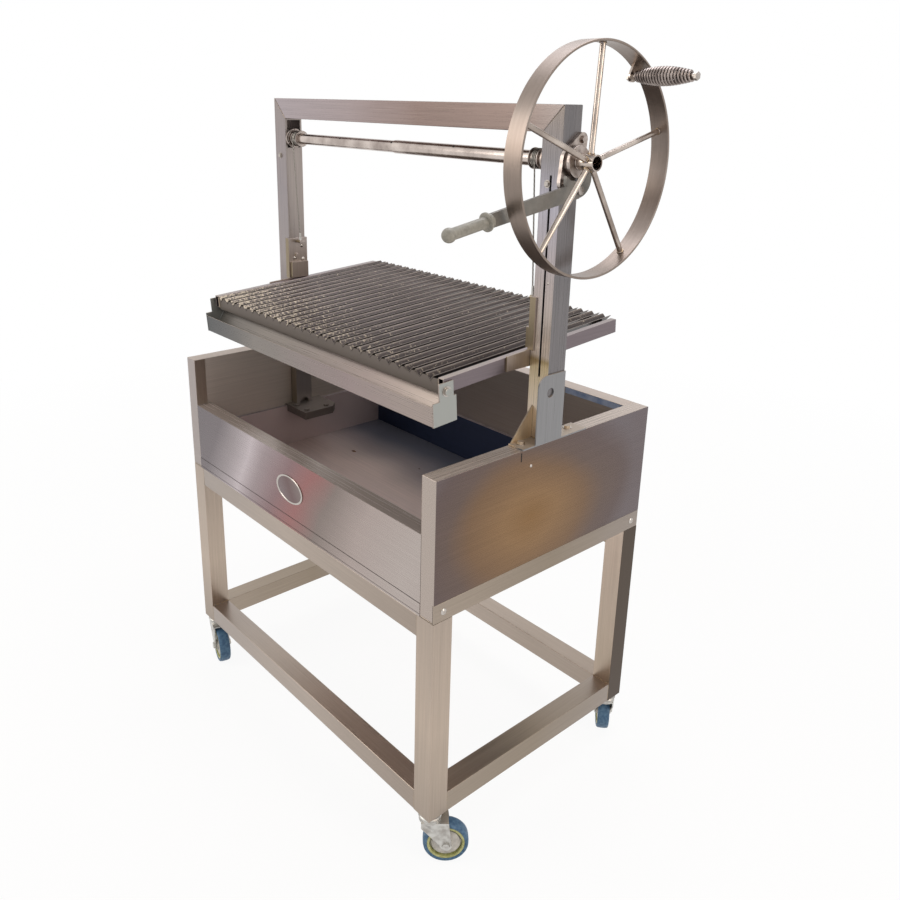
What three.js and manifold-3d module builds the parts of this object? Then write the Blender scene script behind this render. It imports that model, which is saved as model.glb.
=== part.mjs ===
import * as THREE from 'three';
import Module from 'manifold-3d';
import { mergeVertices } from 'three/addons/utils/BufferGeometryUtils.js';

// Argentine grill on castors. Millimetres, +Z up, +X is the hand wheel's side and -Y is the front. The
// pieces are placed from the middle of the firebox, and at the end the whole grill is moved so that the
// origin is on the floor, in the middle of the overall box.

const wasm = await Module();
wasm.setup();

// Gaps and cuts that every piece shares
const seam = 0.3;
const overrun = 2;
const slideGap = 0.6;
const turnGap = 0.4;
const weldBite = 1;
const cutTolerance = 0.004;
const samePoint = 0.001;

// Firebox
const boxWidth = 1000;
const boxDepth = 650;
const boxBottom = 608;
const boxHeight = 304;
const wallThickness = 40;
const sheet = 1.5;
const frontPanelHeight = 180;
const apronHeight = 30;
const apronSheet = 2;
const floorSheet = 2;
const linerHeight = 121;
const linerShelf = 10;
const linerSheet = 2;
const badgeWidth = 110;
const badgeHeight = 67;
const badgeDepth = 2.2;
const badgeRim = 5;
const badgeX = -8;
const badgeRise = 101;

// Stand
const tubeSize = 50;
const tubeSkin = 2;
const legPlate = 5;
const sideAngleHeight = 42;
const sideAngleSheet = 3;
const domeRadius = 7;
const domeHeight = 3.5;
const domeInset = 26;

// Castors
const casterHeight = 127;
const wheelDiameter = 100;
const wheelWidth = 30;
const wheelTrail = 35;
const treadCrown = 1.6;
const treadHalfShare = 0.55;
const tyreDepth = 9;
const rimDepth = 6;
const webWidth = 10;
const hubRadius = 14;
const axleRadius = 6;
const axleHeadRadius = 9;
const axleHeadHeight = 4;
const forkSheet = 3;
const forkGap = 3;
const forkCrownGap = 7;
const forkBackShare = 0.8;
const forkFrontShare = 0.4;
const forkHeadRadius = 24;
const forkHeadHeight = 6;
const forkEyeRadius = 13;
const swivelHeadRadius = 23;
const stemRadius = 6;
const stemNut = 9;
const swivelAngles = { front_right: 50, front_left: -15, back_right: 131, back_left: 35 };

// Posts and beam
const postSkin = 2.5;
const postRise = 658;
const postCentreY = -7;
const guideDepth = 15;
const guideSkin = 2.5;
const guideTopDrop = 7;
const guideArchRadius = 15;
const windowWidth = 40;
const windowBelowShaft = 24;
const windowAboveShaft = 46;
const slotWidth = 4.5;
const slotAboveBox = 137;
const slotBelowShaft = 27;
const slotInset = 24;
const footSheet = 5;
const footSkirt = 16;
const footSkirtSheet = 3;
const footInboard = 95;
const footFront = 48;
const footBack = 67;
const footChamfer = 22;
const footBoltRadius = 7.5;
const footBoltHeight = 6;
const footBoltInset = 14;

// Brackets between the posts and the walls
const bracketSheet = 3;
const bracketFront = 64;
const bracketBack = 80;
const bracketEarHeight = 146;
const bracketEarFront = 28;
const bracketEarRound = 22;
const bracketHoleRadius = 10;
const bracketHoleDrop = 38;
const bracketHoleInset = 25;
const gussetRise = 73;
const gussetFront = 62;
const bracketBoltRadius = 7;
const bracketBoltHeight = 5.5;
const bracketFrontBoltShare = 0.7;
const bracketBackBoltShare = 0.62;

// Shaft, bearings and drums
const shaftDrop = 100;
const shaftRadius = 13.45;
const shaftBore = 10.85;
const shaftEndInset = 1;
const sleeveSkin = 1.3;
const sleeveStart = -16;
const shaftPinRadius = 2.5;
const shaftPinShares = [-0.5, -0.05, 0.42];
const bearingFlangeRadius = 25;
const bearingFlange = 6;
const bearingBarrelRadius = 18;
const bearingBarrel = 25;
const bearingChamfer = 2;
const drumGap = 9.9;
const drumWidth = 24;
const drumCheek = 2.5;
const drumCheekRadius = 20.5;
const drumCoreRadius = 16.6;
const cableRadius = 1.5;
const cablePitch = 3.7;
const windingTurns = 3;
const windingSteps = 24;
const windingSides = 6;
const cableSteps = 4;

// Carriages
const carriageSheet = 4;
const carriageRise = 108.4;
const carriageStepRise = 44.4;
const carriageLip = 11;
const carriageBlock = 10;
const armReach = 66;
const armDrop = 35;
const armNoseDrop = 4;
const anchorRadius = 5;
const anchorReach = 22;
const anchorDrop = 8;
const anchorForward = 3;
const carriageBoltRadius = 6.5;
const carriageBoltHeight = 4.5;

// Cradle and grate, in the tilted frame whose origin is on the bars' tops below the shaft
const cradleTilt = 4.2;
const grateRise = 187.6;
const railWidth = 15;
const railHeight = 30;
const railSkin = 2;
const railFront = 256;
const railBack = 258;
const barWidth = 25;
const barDepth = 12.5;
const barSheet = 1.8;
const barPitch = 31.5;
const barEdgeGap = 1.2;
const barOverhang = 16;
const crossHeight = 22;
const crossWidth = 20;
const crossInset = 1;
const crossBite = 1.2;
const combSheet = 3;
const combDrop = 4;
const gutterReach = 30;
const gutterTuck = 28;
const gutterBottom = 88.5;
const gutterFloor = 20;
const gutterLip = 48;
const gutterRise = 37;
const gutterEndRise = 41;
const gutterSheet = 2;
const gutterEndSheet = 3;
const gutterEndProud = 0.5;
const earWidth = 36;
const earReach = 14;
const earTop = 6;
const earBoltRadius = 7.5;
const earBoltHeight = 6;

// Hand wheel and its grip
const wheelRadius = 210;
const bandThickness = 4.5;
const bandWidth = 40;
const bandOffset = 4;
const bandSegments = 72;
const spokeCount = 5;
const spokeRadius = 5.5;
const spokeInset = 16;
const spokeStart = 87;
const hubGap = 2;
const hubLength = 38;
const gripAngle = 54;
const gripInset = 23;
const lugOffset = 9;
const lugSheet = 5;
const lugHalfWidth = 14;
const gripBoltRadius = 5;
const gripHeadRadius = 9;
const gripHeadHeight = 6;
const springLead = 4.5;
const springLength = 123;
const springCurls = 19;
const springEndRadius = 10;
const springMiddleRadius = 17.5;
const springWire = 4.6;
const springSteps = 8;
const springSides = 5;
const gripNutRadius = 8;
const gripNutHeight = 7;

// Outer bearing and brake
const flangeSheet = 8;
const flangeBoltSpread = 45;
const flangeBoltAngle = 60;
const flangeLobeRadius = 13;
const flangeBodyRadius = 31;
const flangeBoltRadius = 7.5;
const flangeBoltHeight = 5;
const flangeWaistShare = 0.7;
const housingRadius = 25;
const housingReach = 6.5;
const housingTaper = 3;
const discRadius = 30;
const discWidth = 8;
const discEdge = 1;
const pivotBack = 4;
const pivotDrop = 52;
const pivotRadius = 5;
const pivotCollarRadius = 9;
const pivotHeadRadius = 8.5;
const pivotHeadHeight = 5.5;
const leverSheet = 7;
const leverWidth = 30;
const leverTipWidth = 25;
const leverTang = 14;
const leverHeadBack = 2;
const leverHeadDrop = 30;
const leverHeadRadius = 36;
const leverAngle = 10;
const releaseAngle = 12;
const swingShares = [0.5, 1];
const leverLength = 236;
const shoeThickness = 5;
const shoeHalfAngle = 20;
const shoeAngle = -60;
const gripLength = 98;
const gripTubeRadius = 10.3;
const gripBallRadius = 13;
const gripSleeveRadius = 12.5;
const gripSleeveLength = 9;
const gripFlangeRadius = 17;
const gripFlange = 4;
const gripStart = 228;

// Places that follow from the sizes above
const boxTop = boxBottom + boxHeight;
const frontPanelTop = boxBottom + frontPanelHeight;
const linerTop = boxBottom + linerHeight;
const postTop = boxTop + postRise;
const shaftZ = postTop - shaftDrop;
const grateZ = boxTop + grateRise;
const halfWidth = boxWidth / 2;
const halfDepth = boxDepth / 2;
const innerX = halfWidth - wallThickness;
const innerY = halfDepth - wallThickness;
const postOuterX = halfWidth - sheet - seam;
const postInnerX = postOuterX - tubeSize;
const postFrontY = postCentreY - tubeSize / 2;
const postBackY = postCentreY + tubeSize / 2;
const footTop = linerTop + seam + footSheet;
const floorZ = boxBottom + seam;
const floorTop = floorZ + floorSheet;
const wallFoot = boxBottom + seam + sideAngleSheet + seam;
const apronTop = boxBottom + apronHeight;
const bracketZ = boxTop + seam;
const forkCrownHeight = wheelDiameter + forkCrownGap;
const drumX = postInnerX - seam - bearingFlange - drumGap - drumWidth / 2;
const sleeveRadius = shaftRadius + seam + sleeveSkin;
const windingRadius = drumCoreRadius + seam + cableRadius;
const carriageTop = grateZ + carriageRise;
const carriageStep = grateZ + carriageStepRise;
const armFrontY = postFrontY - armReach;
const anchorY = postCentreY - anchorForward;
const railOuterX = postInnerX - slideGap - carriageSheet - seam;
const railInnerX = railOuterX - railWidth;
const barFirstX = -railInnerX + barEdgeGap + barWidth / 2;
const barRoom = 2 * (railInnerX - barEdgeGap) - barWidth;
const barCount = 1 + Math.floor(barRoom / barPitch);
const gutterFront = railFront + gutterReach;
const gutterBack = railFront - gutterTuck;
const earFront = railFront + earReach;
const discStartX = postOuterX + seam + flangeSheet + housingReach;
const pivotY = postCentreY + pivotBack;
const pivotZ = shaftZ - pivotDrop;
const hubStartX = discStartX + discWidth + hubGap;
const hubEndX = hubStartX + hubLength;
const hubBore = shaftRadius + seam;
const spokePlaneX = hubEndX - spokeInset;
const bandCentreX = spokePlaneX + bandOffset;
const lugX = bandCentreX - lugOffset;
const gripOrbit = wheelRadius - gripInset;
const springStartX = lugX + lugSheet / 2 + springLead;
const springEndX = springStartX + springLength;

const steel = { color: 0xa89c98, roughness: 0.34, metalness: 1 };
const innerSteel = { color: 0x6f6663, roughness: 0.5, metalness: 1 };
const brightSteel = { color: 0xb9b0a8, roughness: 0.22, metalness: 1 };
const cableSteel = { color: 0x8f8b86, roughness: 0.45, metalness: 1 };
const zinc = { color: 0xb8b9b6, roughness: 0.4, metalness: 1 };
const tyreBlue = { color: 0x3d6a94, roughness: 0.6, metalness: 0 };
const leverPaint = { color: 0x8a8c7e, roughness: 0.55, metalness: 0 };
const shoeLining = { color: 0x4a4642, roughness: 0.85, metalness: 0 };

// Mesh helpers: solids for the joins and cuts, and the few profiles that repeat

function toSolid(geometry) {
  const bare = geometry.clone();
  bare.deleteAttribute('normal');
  bare.deleteAttribute('uv');
  const welded = mergeVertices(bare);
  const index = welded.index.array;
  const triangles = [];
  for (let i = 0; i < index.length; i += 3) {
    const [a, b, c] = [index[i], index[i + 1], index[i + 2]];
    if (a !== b && b !== c && c !== a) triangles.push(a, b, c);
  }
  return new wasm.Manifold(new wasm.Mesh({
    numProp: 3,
    vertProperties: new Float32Array(welded.attributes.position.array),
    triVerts: new Uint32Array(triangles),
    tolerance: cutTolerance,
  }));
}

function toGeometry(solid) {
  const found = solid.getMesh();
  const geometry = new THREE.BufferGeometry();
  geometry.setAttribute('position', new THREE.BufferAttribute(new Float32Array(found.vertProperties), 3));
  geometry.setIndex(new THREE.BufferAttribute(new Uint32Array(found.triVerts), 1));
  geometry.computeVertexNormals();
  return geometry;
}

function carve(pieces, cutters = []) {
  let solid = toSolid(pieces[0]);
  for (const piece of pieces.slice(1)) solid = solid.add(toSolid(piece));
  for (const cutter of cutters) solid = solid.subtract(toSolid(cutter));
  return toGeometry(solid);
}

function part(name, geometry, finish) {
  const mesh = new THREE.Mesh(geometry, new THREE.MeshStandardMaterial(finish));
  mesh.name = name;
  return mesh;
}

// A block between two corners, given in any order
function block(xa, xb, ya, yb, za, zb) {
  const unit = new THREE.BoxGeometry(1, 1, 1).translate(0.5, 0.5, 0.5);
  const place = new THREE.Matrix4().makeScale(Math.abs(xb - xa), Math.abs(yb - ya), Math.abs(zb - za));
  return unit.applyMatrix4(place.setPosition(Math.min(xa, xb), Math.min(ya, yb), Math.min(za, zb)));
}

// Prisms along X, Y or Z: the outline is given in (y, z), (x, z) or (x, y)
function prism(axis, outline, from, to, curveSegments = 8) {
  const points = Array.isArray(outline) ? outline : withoutRepeats(outline.getPoints(curveSegments));
  const shape = new THREE.Shape(points.map(([a, b]) => new THREE.Vector2(a, b)));
  const geometry = new THREE.ExtrudeGeometry(shape, { depth: 1, bevelEnabled: false });
  const low = Math.min(from, to);
  const depth = Math.abs(to - from);
  const place = new THREE.Matrix4();
  if (axis === 'x') place.set(0, 0, depth, low, 1, 0, 0, 0, 0, 1, 0, 0, 0, 0, 0, 1);
  if (axis === 'y') place.set(1, 0, 0, 0, 0, 0, -depth, low + depth, 0, 1, 0, 0, 0, 0, 0, 1);
  if (axis === 'z') place.set(1, 0, 0, 0, 0, 1, 0, 0, 0, 0, depth, low, 0, 0, 0, 1);
  return geometry.applyMatrix4(place);
}

// Arcs meet lines at points that are the same but for rounding, and one of each pair is enough
function withoutRepeats(points) {
  const kept = points.filter((point, i) => i === 0 || point.distanceTo(points[i - 1]) > samePoint);
  if (kept[0].distanceTo(kept[kept.length - 1]) < samePoint) kept.pop();
  return kept.map((point) => [point.x, point.y]);
}

// A round bar along an axis, through the point given by its other two coordinates
function rod(axis, radius, from, to, a, b, sides = 24) {
  const circle = [];
  for (let i = 0; i < sides; i += 1) {
    const angle = (2 * Math.PI * i) / sides;
    circle.push([radius * Math.cos(angle), radius * Math.sin(angle)]);
  }
  const geometry = prism(axis, circle, from, to);
  if (axis === 'x') return geometry.translate(0, a, b);
  if (axis === 'y') return geometry.translate(a, 0, b);
  return geometry.translate(a, b, 0);
}

// A turned form about an axis: each point is a radius and a place along the axis
function turned(axis, points, sides = 32) {
  const profile = points.map(([radius, along]) => new THREE.Vector2(radius, along));
  const geometry = new THREE.LatheGeometry(profile, sides);
  if (axis === 'x') return geometry.rotateZ(-Math.PI / 2);
  if (axis === 'z') return geometry.rotateX(Math.PI / 2);
  return geometry;
}

// A low dome, such as a button head's, on a face square to an axis
function dome(axis, radius, height, base, a, b, direction = 1) {
  const points = [[0, 0], [radius, 0]];
  const steps = 4;
  for (let i = 1; i < steps; i += 1) {
    const angle = (Math.PI / 2) * (i / steps);
    points.push([radius * Math.cos(angle), height * Math.sin(angle)]);
  }
  points.push([0, height]);
  const geometry = turned(axis, points, 12);
  if (direction < 0) geometry.rotateZ(Math.PI);
  if (axis === 'x') return geometry.translate(base, a, b);
  return geometry.translate(a, b, base);
}

// A square tube, open at both ends
function tube(axis, size, skin, from, to, a, b) {
  const half = size / 2;
  const inner = half - skin;
  const long = [from, to];
  const past = [from - overrun, to + overrun];
  if (axis === 'z') {
    return carve([block(a - half, a + half, b - half, b + half, ...long)],
      [block(a - inner, a + inner, b - inner, b + inner, ...past)]);
  }
  if (axis === 'y') {
    return carve([block(a - half, a + half, ...long, b - half, b + half)],
      [block(a - inner, a + inner, ...past, b - inner, b + inner)]);
  }
  return carve([block(...long, a - half, a + half, b - half, b + half)],
    [block(...past, a - inner, a + inner, b - inner, b + inner)]);
}

const sides = [['left', -1], ['right', 1]];
const ends = [['front', -1], ['back', 1]];
const grill = new THREE.Group();

// Stand: legs with a welded foot plate, rails and the angles under the box's sides

function legGeometry(x, y) {
  const inside = tubeSize / 2 - tubeSkin;
  const wallTube = tube('z', tubeSize, tubeSkin, casterHeight, boxBottom, x, y);
  const reach = inside + weldBite;
  const plate = block(x - reach, x + reach, y - reach, y + reach, casterHeight, casterHeight + legPlate);
  const plateTop = casterHeight + legPlate;
  const hole = rod('z', stemRadius + seam, casterHeight - overrun, plateTop + overrun, x, y, 16);
  return carve([wallTube, plate], [hole]);
}

function standParts() {
  const legX = halfWidth - tubeSize / 2;
  const legY = halfDepth - tubeSize / 2;
  const lowZ = casterHeight + tubeSize / 2;
  const topZ = boxBottom - tubeSize / 2;
  const spanX = halfWidth - tubeSize - seam;
  const spanY = halfDepth - tubeSize - seam;
  for (const [endName, endSign] of ends) {
    const y = endSign * legY;
    grill.add(part(`low_rail_${endName}`, tube('x', tubeSize, tubeSkin, -spanX, spanX, y, lowZ), steel));
    grill.add(part(`top_rail_${endName}`, tube('x', tubeSize, tubeSkin, -spanX, spanX, y, topZ), steel));
    for (const [sideName, sideSign] of sides) {
      grill.add(part(`leg_${endName}_${sideName}`, legGeometry(sideSign * legX, y), steel));
    }
  }
  for (const [sideName, sideSign] of sides) {
    const x = sideSign * legX;
    grill.add(part(`low_rail_${sideName}`, tube('y', tubeSize, tubeSkin, -spanY, spanY, x, lowZ), steel));
    grill.add(part(`side_angle_${sideName}`, sideAngleGeometry(sideSign), steel));
  }
}

// The angle's upright leg shows below the side panel, with a dome-headed bolt near each end
function sideAngleGeometry(sign) {
  const outer = sign * halfWidth;
  const bottom = boxBottom + seam;
  const top = boxBottom + sideAngleHeight;
  const upright = block(outer - sign * sideAngleSheet, outer, -halfDepth, halfDepth, bottom, top);
  const shelfInner = outer - sign * wallThickness;
  const shelf = block(shelfInner, outer, -halfDepth, halfDepth, bottom, bottom + sideAngleSheet);
  const boltZ = boxBottom + sideAngleHeight / 2;
  const boltY = halfDepth - domeInset;
  const domes = ends.map(([, end]) => dome('x', domeRadius, domeHeight, outer, end * boltY, boltZ, sign));
  return carve([upright, shelf, ...domes]);
}

// Castors: each is built with its swivel axis on Z and its trail along X, then turned about Z

function casterHeadGeometry() {
  const top = casterHeight - seam;
  const bottom = forkCrownHeight + forkSheet + forkHeadHeight + seam;
  const stemTop = casterHeight + legPlate + stemNut;
  return carve([
    turned('z', [[0, bottom], [swivelHeadRadius, bottom], [swivelHeadRadius, top], [stemRadius, top],
      [stemRadius, stemTop], [0, stemTop]], 24),
  ]);
}

function casterForkGeometry() {
  const radius = wheelDiameter / 2;
  const cheekInner = wheelWidth / 2 + forkGap;
  const cheekOuter = cheekInner + forkSheet;
  const crownTop = forkCrownHeight + forkSheet;
  const eyeBottom = radius;
  const backX = -forkHeadRadius * forkBackShare;
  const frontX = wheelTrail + forkEyeRadius * forkFrontShare;
  const cheekShape = new THREE.Shape();
  cheekShape.moveTo(backX, crownTop);
  cheekShape.lineTo(backX, crownTop - forkEyeRadius);
  cheekShape.lineTo(wheelTrail - forkEyeRadius, eyeBottom);
  cheekShape.absarc(wheelTrail, eyeBottom, forkEyeRadius, Math.PI, 2 * Math.PI, false);
  cheekShape.lineTo(frontX, crownTop);
  const cheeks = [-1, 1].map((sign) => prism('y', cheekShape, sign * cheekInner, sign * cheekOuter, 6));
  const crown = block(backX, frontX, -cheekOuter, cheekOuter, forkCrownHeight, crownTop);
  const race = rod('z', forkHeadRadius, forkCrownHeight, crownTop + forkHeadHeight, 0, 0, 24);
  const axle = rod('y', axleRadius, -cheekOuter, cheekOuter, wheelTrail, radius, 16);
  const heads = [-1, 1].map((sign) => rod('y', axleHeadRadius, sign * cheekOuter,
    sign * (cheekOuter + axleHeadHeight), wheelTrail, radius, 6));
  return carve([crown, ...cheeks, race, axle, ...heads]);
}

function casterWheelGeometry() {
  const radius = wheelDiameter / 2;
  const half = wheelWidth / 2;
  const bore = axleRadius + turnGap;
  const hub = half + forkGap - turnGap;
  const rim = radius - tyreDepth;
  const tread = half * treadHalfShare;
  const web = webWidth / 2;
  const upper = [[bore, hub], [hubRadius, hub], [hubRadius, web], [rim - rimDepth, web],
    [rim - rimDepth, half], [radius - treadCrown, half], [radius, tread]];
  const lower = upper.map(([r, y]) => [r, -y]);
  const profile = [...lower, ...upper.reverse(), lower[0]];
  return turned('y', profile, 20).translate(wheelTrail, 0, radius);
}

function casterParts() {
  for (const [endName, endSign] of ends) {
    for (const [sideName, sideSign] of sides) {
      const corner = `${endName}_${sideName}`;
      const caster = new THREE.Group();
      caster.position.set(sideSign * (halfWidth - tubeSize / 2), endSign * (halfDepth - tubeSize / 2), 0);
      const swivel = new THREE.Group();
      swivel.rotation.z = THREE.MathUtils.degToRad(swivelAngles[corner]);
      caster.add(part(`caster_head_${corner}`, casterHeadGeometry(), zinc));
      swivel.add(part(`caster_fork_${corner}`, casterForkGeometry(), zinc));
      swivel.add(part(`caster_wheel_${corner}`, casterWheelGeometry(), tyreBlue));
      caster.add(swivel);
      grill.add(caster);
    }
  }
}

// Firebox: folded double-skinned walls, open below, round a floor tray and a lining

function sideWallGeometry(sign) {
  const outer = halfWidth;
  const step = boxBottom + sideAngleHeight + seam;
  const stepX = outer - sideAngleSheet - seam;
  const outline = [[innerX, wallFoot], [stepX, wallFoot], [stepX, step], [outer, step], [outer, boxTop],
    [innerX, boxTop]];
  const hollow = [[innerX + sheet, wallFoot - overrun], [stepX - sheet, wallFoot - overrun],
    [stepX - sheet, step + sheet], [outer - sheet, step + sheet], [outer - sheet, boxTop - sheet],
    [innerX + sheet, boxTop - sheet]];
  const mirrored = (points) => points.map(([x, z]) => [sign * x, z]);
  const wall = prism('y', mirrored(outline), -halfDepth, halfDepth);
  const inside = prism('y', mirrored(hollow), -halfDepth + sheet, halfDepth - sheet);
  const postHole = block(sign * (innerX - overrun), sign * (postOuterX + seam), postFrontY - seam,
    postBackY + seam, footTop - footSheet, boxTop + overrun);
  return carve([wall], [inside, postHole]);
}

function backWallGeometry() {
  const span = innerX - seam;
  const wall = block(-span, span, innerY, halfDepth, floorZ, boxTop);
  const inside = block(-span + sheet, span - sheet, innerY + sheet, halfDepth - sheet, floorZ - overrun,
    boxTop - sheet);
  return carve([wall], [inside]);
}

function frontPanelGeometry() {
  const span = innerX - seam;
  const step = apronTop;
  const stepY = -halfDepth + apronSheet + seam;
  const outline = [[-halfDepth, step], [stepY, step], [stepY, floorTop + seam], [-innerY, floorTop + seam],
    [-innerY, frontPanelTop], [-halfDepth, frontPanelTop]];
  const hollow = [[-halfDepth + sheet, step + sheet], [stepY + sheet, step + sheet],
    [stepY + sheet, floorTop - overrun], [-innerY - sheet, floorTop - overrun],
    [-innerY - sheet, frontPanelTop - sheet], [-halfDepth + sheet, frontPanelTop - sheet]];
  return carve([prism('x', outline, -span, span)], [prism('x', hollow, -span + sheet, span - sheet)]);
}

function floorTrayGeometry() {
  const span = innerX - seam;
  const back = innerY - seam;
  const floor = block(-span, span, -halfDepth, back, floorZ, floorTop);
  const apron = block(-span, span, -halfDepth, -halfDepth + apronSheet, floorZ, apronTop - seam);
  return carve([floor, apron]);
}

// The lining is an upright skin with a shelf folded back to the wall along its top
function linerGeometry() {
  const outX = innerX - seam;
  const outY = innerY - seam;
  const skinX = innerX - linerShelf;
  const skinY = innerY - linerShelf;
  const bottom = floorTop + seam;
  const ring = (x, y, z0, z1) => block(-x, x, -y, y, z0, z1);
  const shelf = ring(outX, outY, linerTop - linerSheet, linerTop);
  const skin = ring(skinX + linerSheet, skinY + linerSheet, bottom, linerTop);
  return carve([shelf, skin], [ring(skinX, skinY, bottom - overrun, linerTop + overrun)]);
}

function badgeGeometry() {
  const oval = (shrink) => {
    const shape = new THREE.Shape();
    shape.absellipse(0, 0, badgeWidth / 2 - shrink, badgeHeight / 2 - shrink, 0, 2 * Math.PI, false);
    return shape;
  };
  const face = -halfDepth - seam;
  const plate = prism('y', oval(0), face - badgeDepth, face, 20);
  const field = prism('y', oval(badgeRim), face - badgeDepth - overrun, face - badgeDepth / 2, 20);
  return carve([plate], [field]).translate(badgeX, 0, boxBottom + badgeRise);
}

function fireboxParts() {
  for (const [sideName, sign] of sides) {
    grill.add(part(`wall_${sideName}`, sideWallGeometry(sign), steel));
  }
  grill.add(part('wall_back', backWallGeometry(), steel));
  grill.add(part('front_panel', frontPanelGeometry(), steel));
  grill.add(part('floor_tray', floorTrayGeometry(), innerSteel));
  grill.add(part('lower_liner', linerGeometry(), innerSteel));
  grill.add(part('badge_plate', badgeGeometry(), brightSteel));
}

// Lift frame: posts and beam of square tube, mitred at the top corners

function postGeometry(sign) {
  const bottom = footTop + seam;
  const outer = sign * postOuterX;
  const inner = sign * postInnerX;
  const skin = sign * postSkin;
  const outline = [[inner, bottom], [outer, bottom], [outer, postTop], [inner, postTop - tubeSize]];
  const innerTop = postTop - tubeSize + postSkin + overrun;
  const hollow = [[inner + skin, bottom - overrun], [outer - skin, bottom - overrun], [outer - skin, postTop],
    [outer - skin - sign * overrun, postTop], [inner + skin, innerTop]];
  const post = prism('y', outline, postFrontY, postBackY);
  const inside = prism('y', hollow, postFrontY + postSkin, postBackY - postSkin);
  const guideTop = boxTop - guideTopDrop;
  const guideInner = inner - sign * guideDepth;
  const guide = block(guideInner, inner + skin, postFrontY, postBackY, bottom, guideTop);
  const guideInside = block(guideInner + sign * guideSkin, inner, postFrontY + guideSkin,
    postBackY - guideSkin, bottom - overrun, guideTop + overrun);
  const arch = rod('x', guideArchRadius, guideInner - sign * overrun, guideInner + sign * guideDepth / 2,
    postCentreY, bottom);
  const window = block(inner - skin, inner + 2 * skin, postCentreY - windowWidth / 2,
    postCentreY + windowWidth / 2, shaftZ - windowBelowShaft, shaftZ + windowAboveShaft);
  const cutters = [guideInside, window, arch];
  if (sign > 0) {
    const slotX = postInnerX + slotInset;
    cutters.push(block(slotX, slotX + slotWidth, postFrontY - overrun, postFrontY + 2 * postSkin,
      boxTop + slotAboveBox, shaftZ - slotBelowShaft));
    cutters.push(rod('x', sleeveRadius + overrun, postOuterX - 2 * postSkin, postOuterX + overrun,
      postCentreY, shaftZ));
  }
  const body = carve([post], [inside]);
  return carve([body, guide], cutters);
}

function beamGeometry() {
  const long = postOuterX - seam * Math.SQRT2;
  const short = long - tubeSize;
  const bottom = postTop - tubeSize;
  const outline = [[-short, bottom], [short, bottom], [long, postTop], [-long, postTop]];
  const beam = prism('y', outline, postFrontY, postBackY);
  const inside = block(-halfWidth, halfWidth, postFrontY + postSkin, postBackY - postSkin, bottom + postSkin,
    postTop - postSkin);
  return carve([beam], [inside]);
}

function postBracketGeometry(sign) {
  const plateOuter = sign * (postOuterX + seam + bracketSheet);
  const plateInner = sign * (postOuterX + seam);
  const baseInner = sign * innerX;
  const base = block(baseInner, plateOuter, postFrontY - bracketFront, postBackY + bracketBack, bracketZ,
    bracketZ + bracketSheet);
  const earFrontY = postFrontY - bracketEarFront;
  const earTop = bracketZ + bracketEarHeight;
  const ear = new THREE.Shape();
  ear.moveTo(earFrontY, bracketZ);
  ear.lineTo(postBackY, bracketZ);
  ear.lineTo(postBackY, earTop);
  ear.lineTo(earFrontY + bracketEarRound, earTop);
  ear.absarc(earFrontY + bracketEarRound, earTop - bracketEarRound, bracketEarRound, Math.PI / 2, Math.PI);
  const gusset = [[postFrontY - seam - gussetFront, bracketZ], [postFrontY - seam, bracketZ],
    [postFrontY - seam, bracketZ + gussetRise]];
  const gussetInner = sign * innerX;
  const boltYs = [postFrontY - bracketFront * bracketFrontBoltShare,
    postBackY + bracketBack * bracketBackBoltShare];
  const boltTop = bracketZ + bracketSheet + bracketBoltHeight;
  const boltX = sign * (halfWidth - tubeSize / 2);
  const bolts = boltYs.map((y) => rod('z', bracketBoltRadius, bracketZ, boltTop, boltX, y, 6));
  const postHole = block(sign * (innerX - 2 * overrun), sign * (postOuterX + seam), postFrontY - seam,
    postBackY + seam, bracketZ - overrun, earTop + overrun);
  const hole = rod('x', bracketHoleRadius, plateInner - sign * overrun, plateOuter + sign * overrun,
    earFrontY + bracketHoleInset + bracketHoleRadius, earTop - bracketHoleDrop);
  return carve([
    base,
    prism('x', ear, plateInner, plateOuter),
    prism('x', gusset, gussetInner, gussetInner + sign * bracketSheet),
    ...bolts,
  ], [postHole, hole]);
}

// The foot plate rests on the lining's shelf and reaches into the firebox, with its edges folded down
function footPlateGeometry(sign) {
  const outer = sign * (innerX - seam);
  const inner = sign * (innerX - linerShelf - footInboard);
  const front = postCentreY - footFront;
  const back = postCentreY + footBack;
  const bottom = footTop - footSheet;
  const outline = [[outer, front], [inner, front], [inner, back - footChamfer],
    [inner + sign * footChamfer, back], [outer, back]];
  const plate = prism('z', outline, bottom, footTop);
  const skirtOuter = sign * (innerX - linerShelf - seam);
  const skirtShape = [[skirtOuter, front], [inner, front], [inner, back - footChamfer],
    [inner + sign * footChamfer, back], [skirtOuter, back]];
  const inset = footSkirtSheet;
  const hollow = [[skirtOuter + sign * overrun, front + inset], [inner + sign * inset, front + inset],
    [inner + sign * inset, back - footChamfer - inset / 2],
    [inner + sign * (footChamfer + inset / 2), back - inset],
    [skirtOuter + sign * overrun, back - inset]];
  const skirt = carve([prism('z', skirtShape, bottom - footSkirt, bottom + weldBite)],
    [prism('z', hollow, bottom - footSkirt - overrun, bottom)]);
  const boltPlaces = [[inner + sign * footBoltInset, front + footBoltInset],
    [inner + sign * footBoltInset, back - footChamfer - footBoltInset],
    [sign * (postInnerX - guideDepth - footBoltInset), front + footBoltInset]];
  const boltTop = footTop + footBoltHeight;
  const bolts = boltPlaces.map(([x, y]) => rod('z', footBoltRadius, bottom, boltTop, x, y, 6));
  return carve([plate, skirt, ...bolts]);
}

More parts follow.
